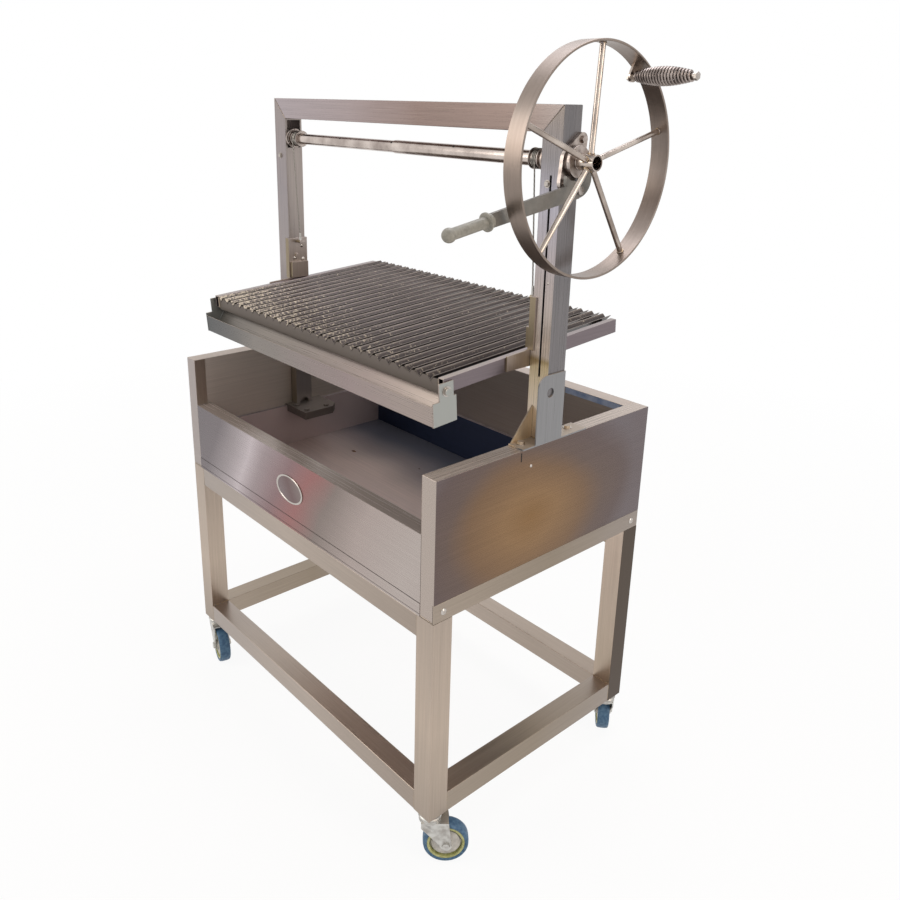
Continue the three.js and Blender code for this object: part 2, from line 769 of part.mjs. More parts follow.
function liftFrameParts() {
  grill.add(part('lift_beam', beamGeometry(), steel));
  for (const [sideName, sign] of sides) {
    grill.add(part(`post_${sideName}`, postGeometry(sign), steel));
    grill.add(part(`post_bracket_${sideName}`, postBracketGeometry(sign), steel));
    grill.add(part(`foot_plate_${sideName}`, footPlateGeometry(sign), innerSteel));
  }
}

// Shaft, bearings, drums and cables

// The right bearing and drum sit on the sleeve, the left ones on the bare shaft
function bearingGeometry(sign) {
  const bore = (sign > 0 ? sleeveRadius : shaftRadius) + turnGap;
  const seat = -seam;
  const face = seat - bearingFlange;
  const points = [[bore, face], [bearingFlangeRadius - bearingChamfer, face],
    [bearingFlangeRadius, face + bearingChamfer], [bearingFlangeRadius, seat], [bearingBarrelRadius, seat],
    [bearingBarrelRadius, bearingBarrel], [bore, bearingBarrel], [bore, face]];
  const bearing = turned('x', points, 24);
  if (sign < 0) bearing.rotateZ(Math.PI);
  return bearing.translate(sign * postInnerX, postCentreY, shaftZ);
}

// The shaft is a pipe with a sleeve over its driven half, and both are pinned together
function shaftGeometry() {
  const start = -(postInnerX + bearingBarrel + overrun);
  const end = hubEndX - shaftEndInset;
  const pipe = rod('x', shaftRadius, start, end, postCentreY, shaftZ, 24);
  const sleeve = rod('x', sleeveRadius, sleeveStart, hubStartX - seam, postCentreY, shaftZ, 24);
  const pins = shaftPinShares.map((share) => rod('z', shaftPinRadius, shaftZ - shaftRadius - overrun,
    shaftZ + shaftRadius + overrun, postInnerX * share, postCentreY, 8));
  return carve([pipe, sleeve],
    [rod('x', shaftBore, start - overrun, end + overrun, postCentreY, shaftZ, 24), ...pins]);
}

// An unbroken tube through a list of rings, each a centre with its outward and sideways directions
function woundTube(rings, radius, count) {
  const positions = [];
  for (const { centre, out, side } of rings) {
    for (let i = 0; i < count; i += 1) {
      const angle = (2 * Math.PI * i) / count;
      const point = centre.clone();
      point.addScaledVector(out, radius * Math.cos(angle)).addScaledVector(side, radius * Math.sin(angle));
      positions.push(point.x, point.y, point.z);
    }
  }
  const index = [];
  for (let ring = 0; ring + 1 < rings.length; ring += 1) {
    for (let i = 0; i < count; i += 1) {
      const a = ring * count + i;
      const b = ring * count + ((i + 1) % count);
      index.push(a, b, a + count, b, b + count, a + count);
    }
  }
  const last = (rings.length - 1) * count;
  for (let i = 1; i + 1 < count; i += 1) {
    index.push(0, i + 1, i);
    index.push(last, last + i, last + i + 1);
  }
  const geometry = new THREE.BufferGeometry();
  geometry.setAttribute('position', new THREE.BufferAttribute(new Float32Array(positions), 3));
  geometry.setIndex(index);
  return geometry;
}

// The least gap between neighbouring turns, measured on the centre line's points
function leastGap(centres, stepsPerTurn, wireRadius) {
  let least = Infinity;
  for (let i = 0; i + stepsPerTurn / 2 < centres.length; i += 1) {
    for (let j = i + stepsPerTurn / 2; j < Math.min(centres.length, i + 2 * stepsPerTurn); j += 1) {
      least = Math.min(least, centres[i].distanceTo(centres[j]) - 2 * wireRadius);
    }
  }
  return least;
}

// A helix about X: radiusAt and xAt take the share of the way along it, and hand is 1 or -1
function helixRings(turns, steps, startAngle, hand, radiusAt, xAt) {
  const rings = [];
  const count = turns * steps;
  for (let i = 0; i <= count; i += 1) {
    const share = i / count;
    const angle = startAngle + hand * 2 * Math.PI * turns * share;
    const out = new THREE.Vector3(0, Math.cos(angle), Math.sin(angle));
    const centre = out.clone().multiplyScalar(radiusAt(share));
    centre.x = xAt(share);
    rings.push({ centre, out, side: new THREE.Vector3(-hand, 0, 0) });
  }
  return rings;
}

function drumGeometry(sign) {
  const bore = (sign > 0 ? sleeveRadius : shaftRadius) + seam;
  const half = drumWidth / 2;
  const cheekFace = half - drumCheek;
  return turned('x', [[bore, -half], [drumCheekRadius, -half], [drumCheekRadius, -cheekFace],
    [drumCoreRadius, -cheekFace], [drumCoreRadius, cheekFace], [drumCheekRadius, cheekFace],
    [drumCheekRadius, half], [bore, half], [bore, -half]], 24);
}

function flipped(geometry) {
  const index = geometry.index.array;
  for (let i = 0; i < index.length; i += 3) [index[i + 1], index[i + 2]] = [index[i + 2], index[i + 1]];
  return geometry;
}

// One unbroken tube: up from the carriage's anchor to the front of the drum, and round it in a single layer
function cableGeometry(sign) {
  const wound = (windingTurns * cablePitch) / 2;
  const rings = helixRings(windingTurns, windingSteps, Math.PI, -1, () => windingRadius,
    (share) => wound - 2 * wound * share);
  const gap = leastGap(rings.map((ring) => ring.centre), windingSteps, cableRadius);
  console.log(`least gap between turns of cable, ${sign < 0 ? 'left' : 'right'} drum: ${gap.toFixed(2)} mm`);
  const anchorTop = carriageTop - anchorDrop + anchorRadius;
  const anchor = new THREE.Vector3(wound, anchorY - postCentreY, anchorTop + seam - shaftZ);
  const { out, side } = rings[0];
  const hanging = [];
  for (let i = 0; i < cableSteps; i += 1) {
    hanging.push({ centre: anchor.clone().lerp(rings[0].centre, i / cableSteps), out, side });
  }
  const cable = woundTube([...hanging, ...rings], cableRadius, windingSides);
  cable.translate(drumX, postCentreY, shaftZ);
  return sign > 0 ? cable : flipped(cable.scale(-1, 1, 1));
}

// Carriage: a folded slider round the post's inner half, with an arm forward along the rail
function carriageGeometry(sign) {
  const outer = sign * (postInnerX - slideGap);
  const inner = outer - sign * carriageSheet;
  const front = postFrontY - slideGap;
  const back = postBackY + slideGap;
  const railTop = grateZ + (back - postCentreY) * Math.tan(THREE.MathUtils.degToRad(cradleTilt)) + seam;
  const armBottom = grateZ - armDrop;
  const plate = [[armFrontY, armBottom], [back + carriageSheet, armBottom],
    [back + carriageSheet, carriageTop], [front - carriageSheet, carriageTop],
    [front - carriageSheet, grateZ], [armFrontY, grateZ - armNoseDrop]];
  const lipOuter = outer + sign * carriageLip;
  const lipFront = block(inner, lipOuter, front - carriageSheet, front, grateZ, carriageTop);
  const lipBack = block(inner, lipOuter, back, back + carriageSheet, grateZ, carriageTop);
  const spacer = block(inner - sign * carriageBlock, outer - sign * seam, front, back, railTop, carriageStep);
  const anchorZ = carriageTop - anchorDrop;
  const anchor = rod('x', anchorRadius, inner, inner - sign * anchorReach, anchorY, anchorZ, 12);
  const boltPlaces = [[postBackY - anchorDrop, carriageTop - 2 * anchorDrop],
    [postCentreY - anchorRadius, carriageStep + 2 * anchorDrop]];
  const boltEnd = inner - sign * carriageBoltHeight;
  const bolts = boltPlaces.map(([y, z]) => rod('x', carriageBoltRadius, inner, boltEnd, y, z, 6));
  return carve([prism('x', plate, inner, outer), lipFront, lipBack, spacer, anchor, ...bolts]);
}

function liftParts() {
  grill.add(part('lift_shaft', shaftGeometry(), brightSteel));
  for (const [sideName, sign] of sides) {
    const drum = part(`drum_${sideName}`, drumGeometry(sign), brightSteel);
    drum.position.set(sign * drumX, postCentreY, shaftZ);
    grill.add(drum);
    grill.add(part(`bearing_${sideName}`, bearingGeometry(sign), brightSteel));
    grill.add(part(`cable_${sideName}`, cableGeometry(sign), cableSteel));
    grill.add(part(`carriage_${sideName}`, carriageGeometry(sign), steel));
  }
}

// Cradle: rails, grate and gutter, built level and tilted forward together

function cradleRailGeometry(sign) {
  const outer = sign * railOuterX;
  const inner = sign * railInnerX;
  const skin = sign * railSkin;
  return carve([block(inner, outer, -railFront, railBack, -railHeight, 0)],
    [block(inner + skin, outer - skin, -railFront - overrun, railBack + overrun, -railHeight + railSkin,
      -railSkin)]);
}

// Each bar is a V-shaped trough, open above. The bars stand on the two cross rails, and a comb plate closes
// the gaps under and between their front ends.
function grateGeometry() {
  const half = barWidth / 2;
  const lipWidth = barSheet * Math.SQRT2;
  const section = (x) => [[x - half, 0], [x - half + lipWidth, 0], [x, -barDepth + lipWidth],
    [x + half - lipWidth, 0], [x + half, 0], [x, -barDepth]];
  const span = railInnerX - seam;
  const crossTop = -barDepth + crossBite;
  const crossFront = -railFront + crossInset;
  const combFoot = crossTop - weldBite;
  const comb = [[-span, -combDrop], [-span, combFoot], [span, combFoot], [span, -combDrop]];
  const notch = half * (1 - combDrop / barDepth) - lipWidth / 2;
  const bars = [];
  for (let i = barCount - 1; i >= 0; i -= 1) {
    const x = barFirstX + i * barPitch;
    bars.push(prism('y', section(x), -railFront, railBack + barOverhang));
    comb.push([x + notch, -combDrop], [x, -barDepth + lipWidth / 2], [x - notch, -combDrop]);
  }
  const combPlate = prism('y', comb, crossFront, crossFront + combSheet);
  const cross = (y) => carve([block(-span, span, y, y + crossWidth, crossTop - crossHeight, crossTop)],
    [block(-span - overrun, span + overrun, y + railSkin, y + crossWidth - railSkin,
      crossTop - crossHeight + railSkin, crossTop - railSkin - crossBite)]);
  return carve([cross(crossFront), cross(railBack - crossWidth - crossInset), combPlate, ...bars]);
}

// The gutter's back plate slopes down from under the bars' ends to a narrow floor
function gutterGeometry() {
  const endOuter = railOuterX + seam + gutterEndSheet;
  const endInner = railOuterX + seam;
  const floorBack = -gutterFront + gutterFloor;
  const floorTopZ = -gutterBottom + gutterSheet;
  const trough = [[-gutterFront, -gutterLip], [-gutterFront, -gutterBottom], [floorBack, -gutterBottom],
    [-gutterBack, -gutterRise], [-gutterBack - gutterSheet, -gutterRise],
    [floorBack - gutterSheet / 2, floorTopZ], [-gutterFront + gutterSheet, floorTopZ],
    [-gutterFront + gutterSheet, -gutterLip]];
  const front = -gutterFront - gutterEndProud;
  const back = -gutterBack + gutterEndProud;
  const bottom = -gutterBottom - gutterEndProud;
  const shoulder = -gutterRise + gutterEndProud;
  const endPlate = [[front, -gutterEndRise], [front, bottom], [back, bottom], [back, shoulder],
    [-earFront + earWidth, shoulder], [-earFront + earWidth, -earTop], [-earFront, -earTop],
    [-earFront, -gutterEndRise]];
  const troughHalf = endInner + gutterEndSheet / 2;
  const pieces = [prism('x', trough, -troughHalf, troughHalf)];
  for (const [, sign] of sides) {
    pieces.push(prism('x', endPlate, sign * endInner, sign * endOuter));
    pieces.push(rod('x', earBoltRadius, sign * endInner, sign * (endOuter + earBoltHeight),
      -earFront + earWidth / 2, -earTop - earWidth / 2, 6));
  }
  return carve(pieces);
}

function cradleParts() {
  const cradle = new THREE.Group();
  cradle.position.set(0, postCentreY, grateZ);
  cradle.rotation.x = THREE.MathUtils.degToRad(cradleTilt);
  for (const [sideName, sign] of sides) {
    cradle.add(part(`cradle_rail_${sideName}`, cradleRailGeometry(sign), steel));
  }
  cradle.add(part('grate', grateGeometry(), steel));
  cradle.add(part('drip_gutter', gutterGeometry(), steel));
  grill.add(cradle);
}

// Hand wheel: flat band, round spokes, tube hub and the lug that holds the grip's bolt

function handWheelGeometry() {
  const inner = wheelRadius - bandThickness;
  const half = bandWidth / 2;
  const bandProfile = [[inner, -half], [wheelRadius, -half], [wheelRadius, half], [inner, half],
    [inner, -half]];
  const band = turned('x', bandProfile, bandSegments).translate(bandCentreX, 0, 0);
  const hub = rod('x', sleeveRadius, hubStartX, hubEndX, 0, 0, 32);
  const spokes = [];
  for (let i = 0; i < spokeCount; i += 1) {
    const angle = THREE.MathUtils.degToRad(spokeStart + (i * 360) / spokeCount);
    const spoke = rod('z', spokeRadius, 0, inner + bandThickness / 2, spokePlaneX, 0, 12);
    spokes.push(spoke.rotateX(angle - Math.PI / 2));
  }
  const lug = block(lugX - lugSheet / 2, lugX + lugSheet / 2, -lugHalfWidth, lugHalfWidth,
    gripOrbit - lugHalfWidth, inner + bandThickness / 2);
  const lugHole = rod('x', gripBoltRadius + seam, lugX - lugSheet, lugX + lugSheet, 0, gripOrbit, 16);
  const lugTurn = THREE.MathUtils.degToRad(gripAngle) - Math.PI / 2;
  const bore = rod('x', hubBore, hubStartX - overrun, hubEndX + overrun, 0, 0, 32);
  return carve([band, hub, ...spokes, lug.rotateX(lugTurn)], [bore, lugHole.rotateX(lugTurn)])
    .translate(0, postCentreY, shaftZ);
}

function gripBoltGeometry() {
  const headBack = lugX - lugSheet / 2 - seam;
  const nutStart = springEndX + springWire / 2 + seam;
  return carve([
    rod('x', gripHeadRadius, headBack - gripHeadHeight, headBack, 0, 0, 6),
    rod('x', gripBoltRadius, headBack - weldBite, nutStart + gripNutHeight, 0, 0, 16),
    rod('x', gripNutRadius, nutStart, nutStart + gripNutHeight, 0, 0, 6),
  ]);
}

function gripSpringGeometry() {
  const radius = springWire / 2;
  const endCentre = springEndRadius - radius;
  const middleCentre = springMiddleRadius - radius;
  const swell = (share) => endCentre + (middleCentre - endCentre) * Math.sin(Math.PI * share);
  const start = springStartX + radius;
  const end = springEndX - radius;
  const rings = helixRings(springCurls, springSteps, 0, 1, swell, (share) => start + (end - start) * share);
  const gap = leastGap(rings.map((ring) => ring.centre), springSteps, radius);
  console.log(`least gap between the spring's curls: ${gap.toFixed(2)} mm`);
  return woundTube(rings, radius, springSides);
}

function driveParts() {
  grill.add(part('hand_wheel', handWheelGeometry(), steel));
  const angle = THREE.MathUtils.degToRad(gripAngle);
  const grip = new THREE.Group();
  grip.position.set(0, postCentreY + gripOrbit * Math.cos(angle), shaftZ + gripOrbit * Math.sin(angle));
  grip.add(part('grip_bolt', gripBoltGeometry(), brightSteel));
  grip.add(part('grip_spring', gripSpringGeometry(), brightSteel));
  grill.add(grip);
}

// Outer bearing: an oval flange with a bolt in each lobe, on the outside of the right post
function flangeBearingGeometry() {
  const inner = postOuterX + seam;
  const outer = inner + flangeSheet;
  const end = discStartX - turnGap;
  const angle = THREE.MathUtils.degToRad(flangeBoltAngle);
  const lean = Math.asin((flangeBodyRadius - flangeLobeRadius) / flangeBoltSpread);
  const waistArc = flangeWaistShare * lean;
  const along = [Math.cos(angle), Math.sin(angle)];
  const outline = new THREE.Shape();
  for (const [turn, sign] of [[angle, 1], [angle + Math.PI, -1]]) {
    const lobeY = sign * flangeBoltSpread * along[0];
    const lobeZ = sign * flangeBoltSpread * along[1];
    const start = turn - Math.PI / 2 + lean;
    outline.absarc(0, 0, flangeBodyRadius, start - waistArc, start, false);
    outline.absarc(lobeY, lobeZ, flangeLobeRadius, start, start + Math.PI - 2 * lean, false);
    const finish = start + Math.PI - 2 * lean;
    outline.absarc(0, 0, flangeBodyRadius, finish, finish + waistArc, false);
  }
  const flange = prism('x', outline, inner, outer, 6);
  const root = inner + flangeSheet / 2;
  const housing = turned('x', [[0, root], [housingRadius, root], [housingRadius, end - housingTaper],
    [housingRadius - housingTaper, end], [0, end]], 24);
  const bolts = [-1, 1].map((sign) => rod('x', flangeBoltRadius, root, outer + flangeBoltHeight,
    sign * flangeBoltSpread * along[0], sign * flangeBoltSpread * along[1], 6));
  const bore = rod('x', sleeveRadius + turnGap, inner - overrun, discStartX + overrun, 0, 0, 24);
  return carve([flange, housing, ...bolts], [bore]).translate(0, postCentreY, shaftZ);
}

// Brake: a disc on the shaft, and a lever under it whose shoe the grip's weight presses up

function brakeDiscGeometry() {
  const bore = sleeveRadius + seam;
  const end = discStartX + discWidth;
  const flat = discRadius - discEdge;
  return turned('x', [[bore, discStartX], [flat, discStartX], [discRadius, discStartX + discEdge],
    [discRadius, end - discEdge], [flat, end], [bore, end], [bore, discStartX]], 32)
    .translate(0, postCentreY, shaftZ);
}

// The lever's round head is hollowed to a crescent that holds the shoe under the disc, and cut wide enough
// in front to clear the disc while the lever swings to its released end
function brakeLeverGeometry() {
  const start = discStartX;
  const end = discStartX + leverSheet;
  const tilt = THREE.MathUtils.degToRad(leverAngle);
  const shoulder = -gripStart + seam;
  const barShape = [[0, leverWidth / 2], [0, -leverWidth / 2], [shoulder, -leverTipWidth / 2],
    [shoulder, -leverTang / 2], [-leverLength, -leverTang / 2], [-leverLength, leverTang / 2],
    [shoulder, leverTang / 2], [shoulder, leverTipWidth / 2]];
  const bar = prism('x', barShape.reverse(), start, end).rotateX(tilt).translate(0, pivotY, pivotZ);
  const head = rod('x', leverHeadRadius, start, end, postCentreY + leverHeadBack, shaftZ - leverHeadDrop, 32);
  const shoeRing = discRadius + seam + shoeThickness + seam;
  const shoeRoom = rod('x', shoeRing, start - overrun, end + overrun, postCentreY, shaftZ, 48);
  const swingRooms = swingShares.map((share) => {
    const angle = THREE.MathUtils.degToRad(releaseAngle) * share;
    const back = postCentreY - pivotY;
    const rise = shaftZ - pivotZ;
    return rod('x', discRadius + overrun, start - overrun, end + overrun,
      pivotY + back * Math.cos(angle) - rise * Math.sin(angle),
      pivotZ + back * Math.sin(angle) + rise * Math.cos(angle), 48);
  });
  const pivotHole = rod('x', pivotRadius + turnGap, start - overrun, end + overrun, pivotY, pivotZ, 16);
  return carve([bar, head], [shoeRoom, ...swingRooms, pivotHole]);
}

function brakeShoeGeometry() {
  const inner = discRadius + seam;
  const outer = inner + shoeThickness;
  const middle = THREE.MathUtils.degToRad(shoeAngle);
  const spread = THREE.MathUtils.degToRad(shoeHalfAngle);
  const pad = new THREE.Shape();
  pad.absarc(postCentreY, shaftZ, outer, middle - spread, middle + spread, false);
  pad.absarc(postCentreY, shaftZ, inner, middle + spread, middle - spread, true);
  return prism('x', pad, discStartX, discStartX + leverSheet, 8);
}

// A tube with a ball at its end, a thin guard flange and a sleeve over the lever's tang
function leverGripGeometry() {
  const start = -gripStart;
  const ball = start - gripLength;
  const flangeEnd = start - gripSleeveLength;
  const tubeEnd = flangeEnd - gripFlange;
  const neck = Math.asin(Math.sqrt(1 - (gripTubeRadius / gripBallRadius) ** 2));
  const profile = [[0, ball - gripBallRadius]];
  const steps = 8;
  for (let i = 1; i <= steps; i += 1) {
    const angle = -Math.PI / 2 + (Math.PI / 2 + neck) * (i / steps);
    profile.push([gripBallRadius * Math.cos(angle), ball + gripBallRadius * Math.sin(angle)]);
  }
  profile.push([gripTubeRadius, tubeEnd], [gripFlangeRadius, tubeEnd], [gripFlangeRadius, flangeEnd],
    [gripSleeveRadius, flangeEnd], [gripSleeveRadius, start], [0, start]);
  const grip = turned('y', profile, 20);
  const slot = block(-leverSheet / 2 - seam, leverSheet / 2 + seam, -leverLength - seam, start + overrun,
    -leverTang / 2 - seam, leverTang / 2 + seam);
  const tilt = THREE.MathUtils.degToRad(leverAngle);
  const middleX = discStartX + leverSheet / 2;
  return carve([grip], [slot]).rotateX(tilt).translate(middleX, pivotY, pivotZ);
}

function leverPivotGeometry() {
  const start = postOuterX + seam;
  const headStart = discStartX + leverSheet + seam;
  return carve([
    rod('x', pivotCollarRadius, start, discStartX - seam, pivotY, pivotZ, 16),
    rod('x', pivotRadius, start + weldBite, headStart + weldBite, pivotY, pivotZ, 16),
    rod('x', pivotHeadRadius, headStart, headStart + pivotHeadHeight, pivotY, pivotZ, 6),
  ]);
}

function brakeParts() {
  grill.add(part('flange_bearing', flangeBearingGeometry(), zinc));
  grill.add(part('brake_disc', brakeDiscGeometry(), brightSteel));
  grill.add(part('brake_lever', brakeLeverGeometry(), leverPaint));
  grill.add(part('brake_shoe', brakeShoeGeometry(), shoeLining));
  grill.add(part('lever_grip', leverGripGeometry(), leverPaint));
  grill.add(part('lever_pivot_bolt', leverPivotGeometry(), brightSteel));
}

standParts();
casterParts();
fireboxParts();
liftFrameParts();
liftParts();
cradleParts();
driveParts();
brakeParts();

const overall = new THREE.Box3().setFromObject(grill, true);
const middle = overall.getCenter(new THREE.Vector3());
grill.position.set(-middle.x, -middle.y, -overall.min.z);

export default grill;
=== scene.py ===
from math import acos, atan2, cos, pi, radians, sin

import bmesh
import bpy
from mathutils import Matrix, Vector


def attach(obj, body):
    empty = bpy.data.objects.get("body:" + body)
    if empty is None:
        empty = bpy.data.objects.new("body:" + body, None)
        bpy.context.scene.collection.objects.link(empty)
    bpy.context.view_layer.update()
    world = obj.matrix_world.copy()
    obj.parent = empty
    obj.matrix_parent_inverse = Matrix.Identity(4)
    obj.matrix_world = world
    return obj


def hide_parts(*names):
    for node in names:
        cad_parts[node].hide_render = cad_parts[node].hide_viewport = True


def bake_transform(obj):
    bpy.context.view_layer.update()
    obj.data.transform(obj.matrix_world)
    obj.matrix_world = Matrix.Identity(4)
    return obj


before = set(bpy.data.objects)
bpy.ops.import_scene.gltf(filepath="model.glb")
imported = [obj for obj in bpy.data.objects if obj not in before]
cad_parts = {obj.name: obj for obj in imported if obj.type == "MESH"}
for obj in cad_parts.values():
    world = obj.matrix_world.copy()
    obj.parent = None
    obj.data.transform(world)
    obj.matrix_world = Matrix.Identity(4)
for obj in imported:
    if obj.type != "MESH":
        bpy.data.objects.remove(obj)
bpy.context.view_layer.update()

# Studio: a camera at head height on the hand wheel's side, a round seamless sweep, and three soft lamps.
# The floor is matt paint on a board that curves up all round, so that the grill's shadow is all that shows.


def linear(code):
    """A colour given as an sRGB hex value, as the linear numbers that shaders take."""
    channels = [int(code[i:i + 2], 16) / 255 for i in (1, 3, 5)]
    return [c / 12.92 if c <= 0.04045 else ((c + 0.055) / 1.055) ** 2.4 for c in channels] + [1.0]


def node(tree, kind, settings=None, **links):
    """Adds a shader node. Settings are attributes, inputs by name or number, or a colour ramp's stops. Links join
    inputs to outputs, or to the first output of a node."""
    made = tree.nodes.new("ShaderNode" + kind)
    for key, value in (settings or {}).items():
        if key == "stops":
            elements = made.color_ramp.elements
            while len(elements) < len(value):
                elements.new(0.5)
            for element, (position, code) in zip(elements, value):
                element.position = position
                element.color = linear(code)
        elif isinstance(key, str) and hasattr(made, key):
            setattr(made, key, value)
        else:
            made.inputs[key].default_value = value
    for key, source in links.items():
        name = key.replace("_", " ")
        socket = made.inputs[int(name[3:])] if name.startswith("in ") else made.inputs[name]
        tree.links.new(source.outputs[0] if isinstance(source, bpy.types.Node) else source, socket)
    return made


def material(name):
    """An empty node material, its tree, and the place on the object in its own coordinates."""
    made = bpy.data.materials.new(name)
    made.use_nodes = True
    tree = made.node_tree
    tree.nodes.clear()
    return made, tree, node(tree, "TexCoord").outputs["Object"]


middle_x, middle_y = -0.08805, -0.017903
eye = Vector((1.5577 + middle_x, -1.2743 + middle_y, 1.5727))
turn_left = 0.846
look_down = -0.313
roll = 0.020
focal_pixels = 855.2
centre_pixels = (433.3, 376.9)
frame_pixels = 900
sensor_mm = 36

camera_data = bpy.data.cameras.new("camera")
camera_data.sensor_width = sensor_mm
camera_data.lens = focal_pixels / frame_pixels * sensor_mm
camera_data.shift_x = (frame_pixels / 2 - centre_pixels[0]) / frame_pixels
camera_data.shift_y = (centre_pixels[1] - frame_pixels / 2) / frame_pixels
camera = bpy.data.objects.new("camera", camera_data)
bpy.context.scene.collection.objects.link(camera)
forward = Vector((-sin(turn_left) * cos(look_down), cos(turn_left) * cos(look_down), sin(look_down)))
camera.rotation_mode = "QUATERNION"
camera.rotation_quaternion = forward.to_track_quat("-Z", "Y") @ Matrix.Rotation(roll, 4, "Z").to_quaternion()
camera.location = eye
bpy.context.scene.camera = camera

sweep_paint, tree, place = material("pale matt studio paint")
path = node(tree, "LightPath")
paint = node(tree, "BsdfDiffuse", {"Color": linear("#f6f4f2"), "Roughness": 0.5})
glow = node(tree, "Emission", {"Color": linear("#ffffff"), "Strength": 1.0})
seen = node(tree, "Math", {"operation": "MAXIMUM"}, in_0=path.outputs["Is Camera Ray"],
            in_1=path.outputs["Is Glossy Ray"])
away = node(tree, "VectorMath", {"operation": "LENGTH"}, in_0=place)
# White paper beyond the shadow, and a floor that still takes the shadow near the object
whiteness = node(tree, "MapRange", {"From Min": 1.2, "From Max": 3.6, "To Min": 0.92, "To Max": 1.0},
                 Value=away.outputs["Value"])
share = node(tree, "Math", {"operation": "MULTIPLY"}, in_0=seen, in_1=whiteness)
mixed = node(tree, "MixShader", in_0=share, in_1=paint, in_2=glow)
node(tree, "OutputMaterial", Surface=mixed)

sweep_radius, sweep_bend, bend_steps, round_steps = 9.0, 1.5, 10, 72
rows = [(0.4, 0.0), (sweep_radius - sweep_bend, 0.0)]
for i in range(1, bend_steps + 1):
    angle = pi / 2 * i / bend_steps
    rows.append((sweep_radius - sweep_bend + sweep_bend * sin(angle), sweep_bend * (1 - cos(angle))))
board = bpy.data.meshes.new("floor_sweep")
corners = [(0, 0, 0)]
for radius, rise in rows:
    for k in range(round_steps):
        angle = 2 * pi * k / round_steps
        corners.append((radius * cos(angle), radius * sin(angle), rise))
faces = [(0, 1 + k, 1 + (k + 1) % round_steps) for k in range(round_steps)]
for row in range(len(rows) - 1):
    for k in range(round_steps):
        first, second = 1 + row * round_steps, 1 + (row + 1) * round_steps
        faces.append((first + k, second + k, second + (k + 1) % round_steps, first + (k + 1) % round_steps))
board.from_pydata(corners, [], faces)
board.materials.append(sweep_paint)
for face in board.polygons:
    face.use_smooth = True
sweep = bpy.data.objects.new("floor_sweep", board)
bpy.context.scene.collection.objects.link(sweep)

world = bpy.data.worlds.new("soft room")
world.use_nodes = True
bpy.context.scene.world = world
tree = world.node_tree
tree.nodes.clear()
path = node(tree, "LightPath")
white = node(tree, "Background", {"Color": linear("#ffffff"), "Strength": 1.0})
fill = node(tree, "Background", {"Color": linear("#f2eeea"), "Strength": 0.6})
seen = node(tree, "Math", {"operation": "MAXIMUM"}, in_0=path.outputs["Is Camera Ray"],
            in_1=path.outputs["Is Glossy Ray"])
mixed = node(tree, "MixShader", in_0=seen, in_1=fill, in_2=white)
node(tree, "OutputWorld", Surface=mixed)


def lamp(name, place, target, width, height, watts, tint):
    """A soft box that faces a target."""
    data = bpy.data.lights.new(name, "AREA")
    data.shape = "RECTANGLE"
    data.size, data.size_y = width, height
    data.energy = watts
    data.color = linear(tint)[:3]
    made = bpy.data.objects.new(name, data)
    bpy.context.scene.collection.objects.link(made)
    made.location = place
    made.rotation_mode = "QUATERNION"
    made.rotation_quaternion = (Vector(target) - Vector(place)).to_track_quat("-Z", "Y")


lamp("front_softbox", (-1.6, -3.0, 2.6), (0, 0, 0.8), 1.6, 2.2, 42, "#fff8f0")
lamp("side_softbox", (3.2, 0.4, 2.2), (0, 0, 0.8), 1.2, 2.4, 30, "#fff0e0")
lamp("top_softbox", (0.0, 0.6, 3.4), (0, 0, 0.9), 2.4, 1.6, 40, "#f6f7ff")

bpy.context.scene.view_settings.view_transform = "Standard"

# Stand: 50 mm square tube of 304 stainless, mitred, welded and ground flush, with a folded angle under each side
# wall. Belt-brushed along each length, it throws back soft streaks, and a little straw and lilac from the welds.


